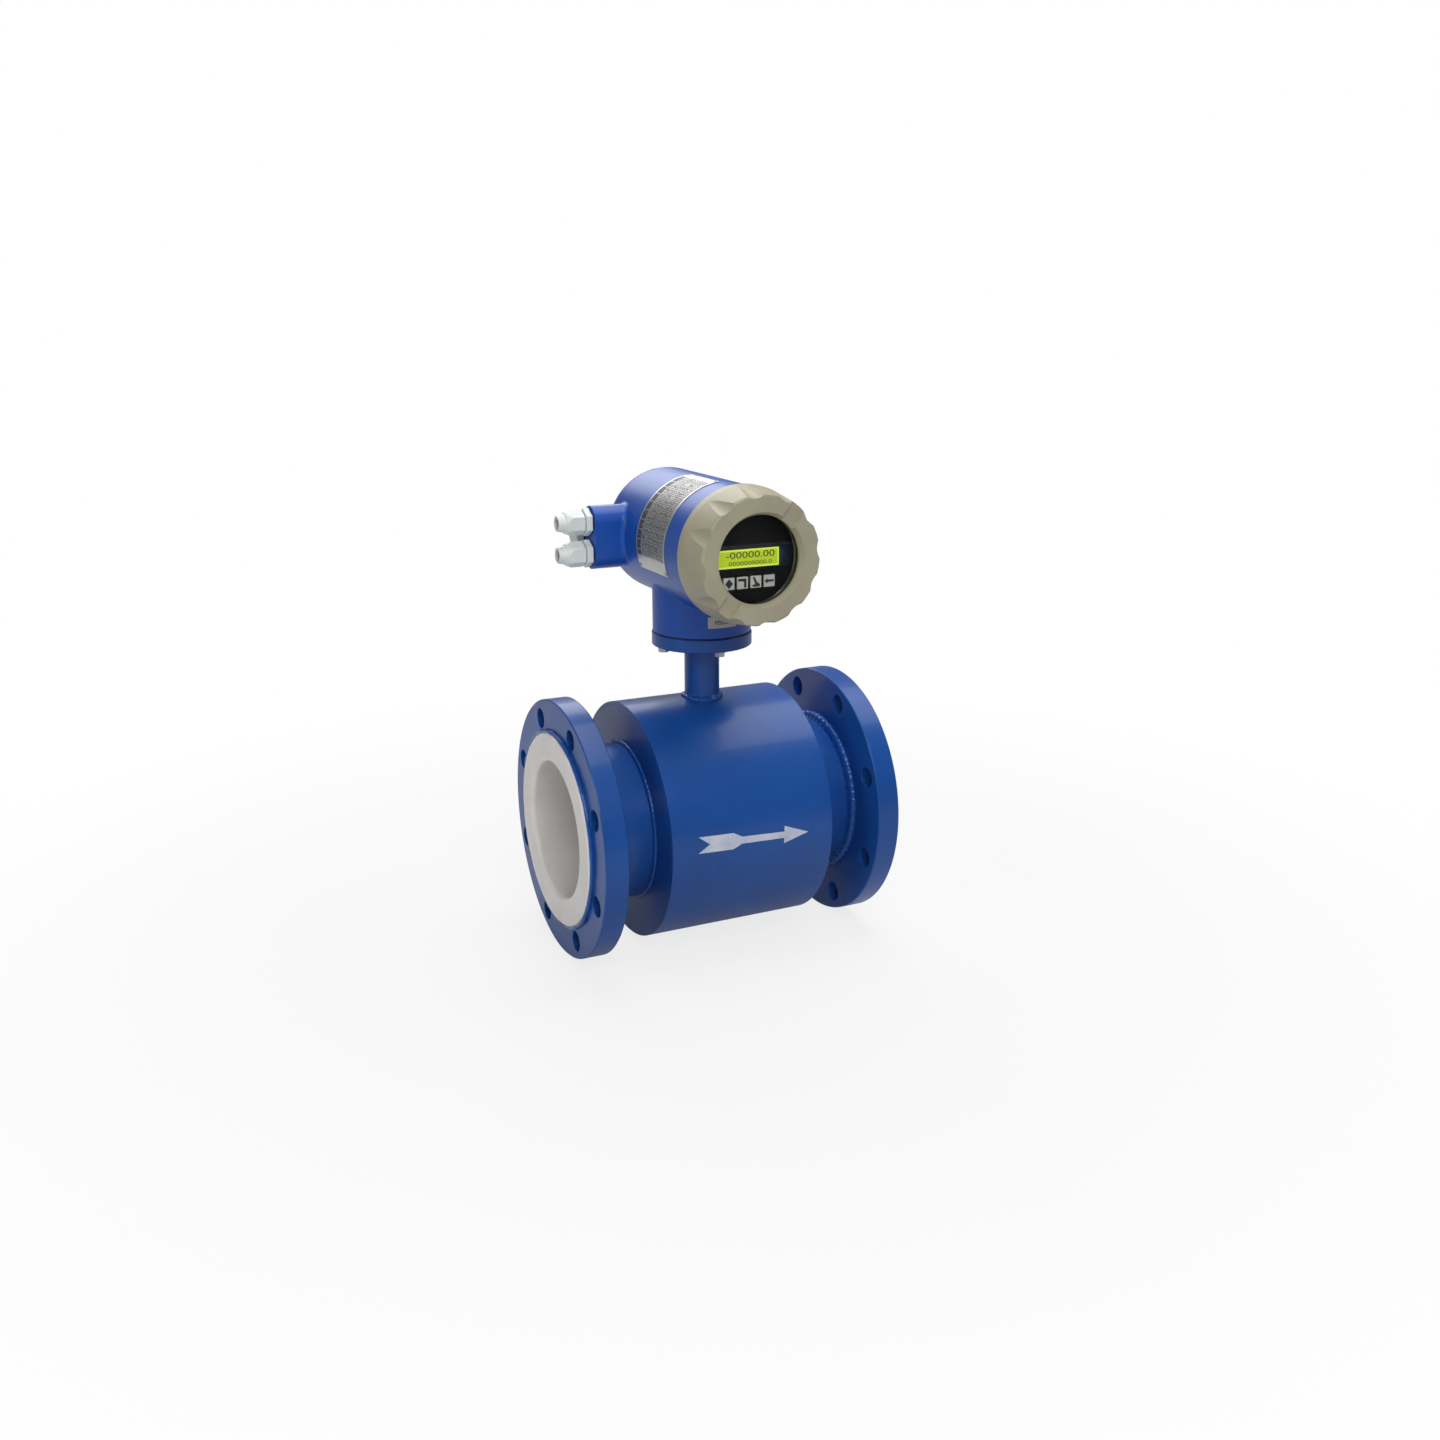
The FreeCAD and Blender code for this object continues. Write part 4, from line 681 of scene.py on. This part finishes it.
class FlowMeterSizes(bpy.types.PropertyGroup):
    """Sizes of what is laid on the meter"""

    weld_wire: bpy.props.FloatProperty(
        name="Weld radius",
        description="Radius of the bead round the back of each flange",
        unit="LENGTH", default=5.0 * MM,
    )
    weld_ripple: bpy.props.FloatProperty(
        name="Weld ripple",
        description="How much the bead swells at each ripple, as a share of its radius",
        subtype="FACTOR", min=0.0, max=0.5, default=0.20,
    )
    arrow_length: bpy.props.FloatProperty(
        name="Arrow length",
        description="Tail to tip of the flow arrow",
        unit="LENGTH", default=128.0 * MM,
    )
    arrow_half_width: bpy.props.FloatProperty(
        name="Arrow half width",
        description="Middle line of the arrow to the corner of its head",
        unit="LENGTH", default=9.5 * MM,
    )
    arrow_tilt: bpy.props.FloatProperty(
        name="Arrow tilt",
        description="Turn of the arrow against the pipe's line",
        subtype="ANGLE", default=math.radians(-2.3),
    )
    digit_height: bpy.props.FloatProperty(
        name="Digit height",
        description="Height of the digits in the upper row of the display",
        unit="LENGTH", default=6.4 * MM,
    )


class FlowMeterStudio(bpy.types.PropertyGroup):
    """Camera and light"""

    camera_place: bpy.props.FloatVectorProperty(
        name="Camera place",
        description="Where the camera stands",
        subtype="TRANSLATION", size=3, default=(-0.4698, -1.3786, 0.5423),
    )
    camera_turn: bpy.props.FloatProperty(
        name="Camera turn",
        description="Turn of the camera from +Y towards +X",
        subtype="ANGLE", default=math.radians(25.64),
    )
    camera_tilt: bpy.props.FloatProperty(
        name="Camera tilt",
        description="How far the camera looks down",
        subtype="ANGLE", default=math.radians(16.22),
    )
    lens: bpy.props.FloatProperty(
        name="Lens",
        description="Focal length for a 36 mm wide image",
        default=35.97,
    )
    light: bpy.props.FloatProperty(
        name="Light",
        description="Level of the soft lamps",
        min=0.0, default=1.0,
    )
    sky: bpy.props.FloatProperty(
        name="Surround",
        description="Level of the light from all round",
        min=0.0, default=0.06,
    )


# ---------------------------------------------------------------- pieces


class FLOWMETER_OT_sensor(bpy.types.Operator):
    """Paints the flanges, pipe, coil case, pillar and mounting plate"""

    bl_idname = "flowmeter.sensor"
    bl_label = "Sensor paint"

    def execute(self, context):
        colour = context.scene.flow_meter_colours.sensor
        coat = enamel("sensor_enamel", colour)
        paint_nodes(coat, "outlet_flange", "measuring_tube", "coil_case", "inlet_end_plate")
        paint_nodes(coat, "outlet_end_plate", "pillar", "mounting_plate")
        paint_nodes(enamel("scored_enamel", colour, scored=True), "inlet_flange")
        return {"FINISHED"}


class FLOWMETER_OT_welds(bpy.types.Operator):
    """Lays rippled, painted-over weld beads at the flanges, end plates and pillar"""

    bl_idname = "flowmeter.welds"
    bl_label = "Weld beads"

    def execute(self, context):
        sizes = context.scene.flow_meter_sizes
        coat = enamel("weld_enamel", context.scene.flow_meter_colours.sensor, 0.18)
        wire = sizes.weld_wire
        swell = sizes.weld_ripple
        # Radius, wire, ripples, swell and steps. The wide beads lie against the backs of the
        # flanges, the thin ones on the end plates.
        against = 4.5 * MM + 0.42 * wire
        wide = (PIPE_RADIUS + 1.6 * MM, wire, 66, swell, 396)
        thin = (PIPE_RADIUS + 0.2 * wire, 0.5 * wire, 90, swell, 360)
        beads = (
            ("inlet_weld", FACE_HIGH.x - against, wide, 1.0),
            ("outlet_weld", FAR_LOW.x + against, wide, 4.0),
            ("inlet_plate_weld", CASE_LOW.x, thin, 7.0),
            ("outlet_plate_weld", CASE_HIGH.x, thin, 11.0),
        )
        for name, x, bead, seed in beads:
            shape = moved(weld_ring(*bead, seed), x, 0, 0)
            add_piece(name, shape, coat, "meter")
        # The pillar's bead lies flat, then each of its points drops onto the round case.
        ring = weld_ring(20.2 * MM, 2.4 * MM, ripples=22, swell=swell, steps=176, seed=15.0)
        shape = turned(ring, "Y")
        for vertex in shape.verts:
            case_top = math.sqrt(CASE_RADIUS ** 2 - vertex.co.y ** 2)
            vertex.co.z += case_top + 0.6 * MM
            vertex.co.x += HEAD_X
        add_piece("pillar_weld", shape, coat, "meter")
        return {"FINISHED"}


class FLOWMETER_OT_liner(bpy.types.Operator):
    """Finishes the liner and lays the thick edge of paint round its flares"""

    bl_idname = "flowmeter.liner"
    bl_label = "Liner and paint edge"

    def execute(self, context):
        colours = context.scene.flow_meter_colours
        paint_nodes(fluoropolymer("liner_sheet", colours.liner), "liner")
        coat = enamel("paint_edge_enamel", scaled(colours.sensor, 1.15), 0.12)
        radius, wire = FLARE_RADIUS + 1.5 * MM, 2.3 * MM
        sides = (("inlet_paint_edge", FACE_LOW.x, 21.0), ("outlet_paint_edge", FAR_HIGH.x, 26.0))
        for name, x, seed in sides:
            edge = ring_about_x(radius, wire, 360)
            for vertex in edge.verts:
                spot = Vector(vertex.co)
                lump = noise.noise(spot * 60.0 + Vector((seed, 0, 0)))
                fine = noise.noise(spot * 190.0 + Vector((0, seed, 0)))
                thick = 1 + 0.35 * lump
                wide = 1 + 0.010 * lump + 0.004 * fine
                vertex.co = Vector((spot.x * thick, spot.y * wide, spot.z * wide))
            add_piece(name, moved(edge, x, 0, 0), coat, "meter")
        return {"FINISHED"}


class FLOWMETER_OT_arrow(bpy.types.Operator):
    """Stencils the white flow arrow on the coil case"""

    bl_idname = "flowmeter.arrow"
    bl_label = "Flow arrow"

    def execute(self, context):
        sizes = context.scene.flow_meter_sizes
        # Shares of the arrow's length and half width, from the tail's upper corner to the tip.
        upper = [(0.0, 0.92), (0.31, 0.92), (0.39, 0.40), (0.775, 0.36), (0.775, 1.0)]
        lower = [(along, -across) for along, across in reversed(upper)]
        tip, notch = (1.0, 0.0), (0.10, 0.0)
        tilt = Matrix.Rotation(sizes.arrow_tilt, 2)
        points = []
        for along, across in upper + [tip] + lower + [notch]:
            spot = Vector((along * sizes.arrow_length, across * sizes.arrow_half_width))
            points.append(tilt @ spot)
        shape = flat_outline(points)
        self.cut_across(shape, cuts=12, spacing=1.5 * MM)
        thickened(shape, 0.12 * MM)
        self.lay_on_case(shape, start=CASE_LOW.x + 29 * MM, height=math.radians(3.6))
        add_piece("flow_arrow", shape, self.stencil_white(), "meter")
        return {"FINISHED"}

    def cut_across(self, shape, cuts, spacing):
        """Cuts flat faces into level strips, so that they can bend."""
        for cut in range(-cuts, cuts + 1):
            parts = shape.verts[:] + shape.edges[:] + shape.faces[:]
            level = (0, 0, cut * spacing)
            bmesh.ops.bisect_plane(shape, geom=parts, plane_co=level, plane_no=(0, 0, 1))

    def lay_on_case(self, shape, start, height):
        """Bends a plate round the front of the coil case; height is an angle above its middle."""
        for vertex in shape.verts:
            angle = height + vertex.co.z / CASE_RADIUS
            radius = CASE_RADIUS - vertex.co.y
            vertex.co.x += start
            vertex.co.y = -radius * math.cos(angle)
            vertex.co.z = radius * math.sin(angle)

    def stencil_white(self):
        """Thin white paint that the enamel shows through."""
        f = new_finish("stencil_white")
        worn = f.step(f.grain(210.0, 4.0, 0.65), 0.60, 0.72)
        thin = f.step(f.grain(60.0, 3.0, 0.6), 0.35, 0.75)
        white = f.mix(thin, (0.50, 0.56, 0.70), (0.68, 0.71, 0.78))
        white = f.mix(worn * 0.45, white, (0.10, 0.17, 0.40))
        return f.surface(white, 0.45 + 0.1 * thin, f.bump(thin, 0.1 * MM, 0.4))


class FLOWMETER_OT_converter(bpy.types.Operator):
    """Paints the converter housing"""

    bl_idname = "flowmeter.converter"
    bl_label = "Converter housing"

    def execute(self, context):
        colours = context.scene.flow_meter_colours
        paint_nodes(powder_coat("converter_coat", colours.converter), "converter_housing")
        return {"FINISHED"}


class FLOWMETER_OT_cover(bpy.types.Operator):
    """Finishes the front cover with its glass and clamp ring"""

    bl_idname = "flowmeter.cover"
    bl_label = "Front cover"

    def execute(self, context):
        colours = context.scene.flow_meter_colours
        paint_nodes(cast_cover("cover_coat", colours.cover), "front_cover")
        paint_nodes(window("window_clear"), "window_glass")
        paint_nodes(metal("turned_aluminium", (0.58, 0.58, 0.57), 0.30), "window_clamp_ring")
        # Painted shade: a black ring stands in for the shade in the gap behind the cover.
        self.lay_gap_shade_ring()
        return {"FINISHED"}

    def lay_gap_shade_ring(self):
        """A thin black ring on the housing, just inside the gap behind the cover: painted shade
        in the gap.
        """
        near, far = COVER_HIGH.y + 0.2 * MM, COVER_HIGH.y + 0.85 * MM
        outer = COVER_HIGH.x - 2.2 * MM
        inner = outer - 0.7 * MM
        shape = bmesh.new()
        spots = ((inner, near), (outer, near), (outer, far), (inner, far))
        corners = [shape.verts.new((x, y, HEAD_Z)) for x, y in spots]
        for turn in range(len(corners)):
            shape.edges.new((corners[turn - 1], corners[turn]))
        spun(shape, (HEAD_X, 0, HEAD_Z), (0, 1, 0), 180)
        # The black ring is painted shade for the gap behind the cover, not a seal.
        add_piece("cover_gap_shade_ring", shape, rubber("gap_shade_black"), "meter")


class FLOWMETER_OT_display(bpy.types.Operator):
    """Finishes the display panel and lays its digits, dark field and key symbols"""

    bl_idname = "flowmeter.display"
    bl_label = "Display and keys"

    def execute(self, context):
        colours = context.scene.flow_meter_colours
        sizes = context.scene.flow_meter_sizes
        paint_nodes(panel_film("panel_film"), "display_panel")
        screen = lit_screen("screen_lit", colours.screen, colours.screen_glow)
        paint_nodes(screen, "lcd_module")
        self.lay_screen(sizes)
        self.lay_keys()
        return {"FINISHED"}

    def lay_screen(self, sizes):
        """Two rows of digits and the dark field at their right."""
        f = new_finish("screen_segments")
        fine = f.grain(500.0, 1.0)
        dark = f.mix(fine, (0.03, 0.045, 0.008), (0.06, 0.08, 0.012))
        ink = f.surface(dark, 0.4 + 0.1 * fine)
        face = SCREEN_LOW.y
        middle = LIT_HIGH.x - 32.0 * MM
        tall = sizes.digit_height
        rows = (
            ("upper_digits", "-00000.00", 54 * MM, tall, LIT_LOW.z + 12.9 * MM),
            ("lower_digits", "0000000000.0", 48 * MM, tall * 0.6, LIT_LOW.z + 4.6 * MM),
        )
        for name, words, width, height, level in rows:
            digits = text_shape(words, width, height, 0.1 * MM)
            moved(digits, middle, face - 0.04 * MM, level)
            add_piece(name, digits, ink, "meter", smooth=False)
        f = new_finish("screen_blue")
        cloud = f.grain(60.0, 2.0)
        navy = f.mix(cloud, (0.008, 0.013, 0.035), (0.014, 0.022, 0.055))
        film = f.surface(navy, 0.28 + 0.1 * cloud)
        edge = LIT_HIGH.x + 0.8 * MM
        right = SCREEN_HIGH.x + 2.5 * MM
        low, high = LIT_LOW.z - 1.5 * MM, LIT_HIGH.z + 1.0 * MM
        outline = [(edge, low), (right, low), (right, high), (edge, high)]
        field = thickened(flat_outline(outline), 0.25 * MM)
        bevel_all(field, 0.08 * MM)
        moved(field, 0, face + 0.1 * MM, 0)
        add_piece("screen_dark_field", field, film, "meter")

    def lay_keys(self):
        """White keys, each with its dark sign."""
        key_white = moulded("key_film", (0.80, 0.81, 0.78), 0.35)
        f = new_finish("key_ink")
        fine = f.grain(700.0, 1.0)
        dark = f.mix(fine, (0.02, 0.02, 0.02), (0.05, 0.05, 0.045))
        ink = f.surface(dark, 0.5 + 0.1 * fine)
        for key, outline in KEY_SIGNS.items():
            low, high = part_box(key)
            half = (high.x - low.x) / 2
            middle = (low + high) / 2
            sign = thickened(flat_outline([(x * half, z * half) for x, z in outline]), 0.08 * MM)
            moved(sign, middle.x, low.y + 0.03 * MM, middle.z)
            add_piece(key + "_sign", sign, ink, key, smooth=False)
            paint_nodes(key_white, key)


class FLOWMETER_OT_plates(bpy.types.Operator):
    """Finishes the nameplate, its rivets and the small neck label"""

    bl_idname = "flowmeter.plates"
    bl_label = "Nameplate and label"

    def execute(self, context):
        paint_nodes(name_sheet("nameplate_sheet", ruled_fields), "nameplate")
        paint_nodes(name_sheet("label_sheet", label_strokes, 0.6), "neck_label")
        paint_nodes(metal("rivet_steel", (0.35, 0.34, 0.33), 0.35), "nameplate_rivets")
        return {"FINISHED"}


class FLOWMETER_OT_glands(bpy.types.Operator):
    """Finishes the cable glands, the plug and every seal"""

    bl_idname = "flowmeter.glands"
    bl_label = "Cable entries and seals"

    def execute(self, context):
        nylon = moulded("gland_nylon", context.scene.flow_meter_colours.gland)
        seal = rubber("seal_rubber")
        paint_nodes(nylon, "blanking_plug")
        paint_nodes(seal, "plug_washer", "neck_gasket", "cover_seal", "window_gasket")
        paint_nodes(seal, "lead_grommet", "sensor_lead")
        for side in ("upper", "lower"):
            paint_nodes(nylon, side + "_gland_body", side + "_gland_nut")
            paint_nodes(seal, side + "_gland_washer", side + "_gland_seal")
        return {"FINISHED"}


class FLOWMETER_OT_fasteners(bpy.types.Operator):
    """Finishes bolts, washers and screws"""

    bl_idname = "flowmeter.fasteners"
    bl_label = "Fasteners"

    def execute(self, context):
        zinc = metal("zinc_plate", (0.46, 0.47, 0.47), 0.26, tint=(0.44, 0.40, 0.30))
        paint_nodes(zinc, "neck_bolts", "neck_washers", "board_screws")
        paint_nodes(zinc, "front_electrode_nut", "rear_electrode_nut")
        return {"FINISHED"}


class FLOWMETER_OT_insides(bpy.types.Operator):
    """Finishes the coils, electrodes and boards inside"""

    bl_idname = "flowmeter.insides"
    bl_label = "Inside parts"

    def execute(self, context):
        steel = metal("core_steel", (0.42, 0.42, 0.43), 0.38)
        paint_nodes(steel, "upper_pole_shoe", "lower_pole_shoe", "return_band")
        polished = metal("electrode_steel", (0.66, 0.66, 0.65), 0.16)
        paint_nodes(polished, "front_electrode", "rear_electrode")
        cream = moulded("bush_cream", (0.72, 0.68, 0.58))
        paint_nodes(cream, "front_electrode_bush", "rear_electrode_bush")
        paint_nodes(winding("coil_wire"), "upper_coil", "lower_coil")
        paint_nodes(board("board_lacquer"), "main_board", "power_board")
        aluminium = metal("standoff_aluminium", (0.60, 0.60, 0.60), 0.32)
        paint_nodes(aluminium, "front_standoffs", "rear_standoffs")
        paint_nodes(moulded("terminal_green", (0.04, 0.28, 0.12)), "terminal_block")
        paint_nodes(moulded("switch_black", (0.02, 0.02, 0.02)), "key_switches")
        return {"FINISHED"}


class FLOWMETER_OT_studio(bpy.types.Operator):
    """Sets up the floor, the soft lamps and the camera"""

    bl_idname = "flowmeter.studio"
    bl_label = "Studio"

    def execute(self, context):
        studio = context.scene.flow_meter_studio
        context.scene.view_settings.view_transform = "Standard"
        self.lay_floor(context)
        self.light_world(context, studio.sky)
        for name, place, size, power in LAMPS:
            lamp = bpy.data.lights.new(name, "AREA")
            lamp.size = size
            lamp.energy = power * studio.light
            holder = bpy.data.objects.new(name, lamp)
            holder.location = place
            aim = LAMP_TARGET - holder.location
            holder.rotation_euler = aim.to_track_quat("-Z", "Y").to_euler()
            context.scene.collection.objects.link(holder)
        self.place_camera(context, studio)
        return {"FINISHED"}

    def place_camera(self, context, studio):
        """Puts up the camera and looks through it."""
        camera = bpy.data.cameras.new("camera")
        camera.lens = studio.lens
        camera.sensor_width = 36.0
        camera.clip_start = 0.01
        holder = bpy.data.objects.new("camera", camera)
        holder.location = studio.camera_place
        level = math.pi / 2
        holder.rotation_euler = (level - studio.camera_tilt, 0.0, -studio.camera_turn)
        context.scene.collection.objects.link(holder)
        context.scene.camera = holder

    def seen_directly(self, f):
        """1 for rays that should meet the plain white surround."""
        path = f.node("ShaderNodeLightPath", output="Is Camera Ray")
        outputs = path.socket.node.outputs
        glossy = Shade(f, outputs["Is Glossy Ray"])
        through = Shade(f, outputs["Is Transmission Ray"])
        return (path + glossy * MIRRORED + through).clamped()

    def lay_floor(self, context):
        """A white floor that keeps a soft shadow near the meter."""
        shape = bmesh.new()
        bmesh.ops.create_circle(shape, cap_ends=True, segments=96, radius=FLOOR_RADIUS)
        moved(shape, CASE_LOW.x, 0, CAD_BOX[0].z)
        mesh = bpy.data.meshes.new("floor")
        shape.to_mesh(mesh)
        shape.free()
        floor = bpy.data.objects.new("floor", mesh)
        context.scene.collection.objects.link(floor)
        f = new_finish("pale_floor")
        x, y, _ = f.split(f.place())
        along = x - LAMP_TARGET.x
        fade = f.step((along * along + y * y) ** 0.5, SHADOW_NEAR, SHADOW_FAR)
        matt = f.node("ShaderNodeBsdfDiffuse", None, {"Color": (0.70, 0.70, 0.70, 1.0)})
        glow = f.node("ShaderNodeEmission", None, {"Strength": 1.0})
        share = self.seen_directly(f) * (0.80 + 0.20 * fade)
        f.end(f.node("ShaderNodeMixShader", None, {0: share, 1: matt, 2: glow}))
        mesh.materials.append(f.owner)

    def light_world(self, context, level):
        """Even light from all round; the camera sees it as white."""
        world = bpy.data.worlds.new("surround")
        context.scene.world = world
        f = Finish(world)
        strength = level + (1.0 - level) * self.seen_directly(f)
        white = (1.0, 1.0, 1.0, 1.0)
        sky = f.node("ShaderNodeBackground", None, {"Color": white, "Strength": strength})
        f.end(sky, "ShaderNodeOutputWorld")


class FLOWMETER_PT_panel(bpy.types.Panel):
    """Lists the settings and the steps"""

    bl_label = "Flow Meter"
    bl_idname = "FLOWMETER_PT_panel"
    bl_space_type = "VIEW_3D"
    bl_region_type = "UI"
    bl_category = "Flow Meter"

    def draw(self, context):
        for name in SETTINGS:
            group = getattr(context.scene, name)
            box = self.layout.box()
            for setting in SETTINGS[name].__annotations__:
                box.prop(group, setting)
        for step in STEPS:
            self.layout.operator(step.bl_idname)


SETTINGS = {
    "flow_meter_colours": FlowMeterColours,
    "flow_meter_sizes": FlowMeterSizes,
    "flow_meter_studio": FlowMeterStudio,
}

STEPS = (
    FLOWMETER_OT_sensor,
    FLOWMETER_OT_welds,
    FLOWMETER_OT_liner,
    FLOWMETER_OT_arrow,
    FLOWMETER_OT_converter,
    FLOWMETER_OT_cover,
    FLOWMETER_OT_display,
    FLOWMETER_OT_plates,
    FLOWMETER_OT_glands,
    FLOWMETER_OT_fasteners,
    FLOWMETER_OT_insides,
    FLOWMETER_OT_studio,
)


def register():
    """Adds the settings, the steps and the panel."""
    for name, group in SETTINGS.items():
        bpy.utils.register_class(group)
        setattr(bpy.types.Scene, name, bpy.props.PointerProperty(type=group))
    for step in STEPS:
        bpy.utils.register_class(step)
    bpy.utils.register_class(FLOWMETER_PT_panel)


def unregister():
    """Takes them away again."""
    bpy.utils.unregister_class(FLOWMETER_PT_panel)
    for step in reversed(STEPS):
        bpy.utils.unregister_class(step)
    for name, group in SETTINGS.items():
        delattr(bpy.types.Scene, name)
        bpy.utils.unregister_class(group)


def main():
    """Dresses the meter and sets up the studio."""
    register()
    for step in STEPS:
        family, action = step.bl_idname.split(".")
        getattr(getattr(bpy.ops, family), action)()


if __name__ == "__main__":
    main()
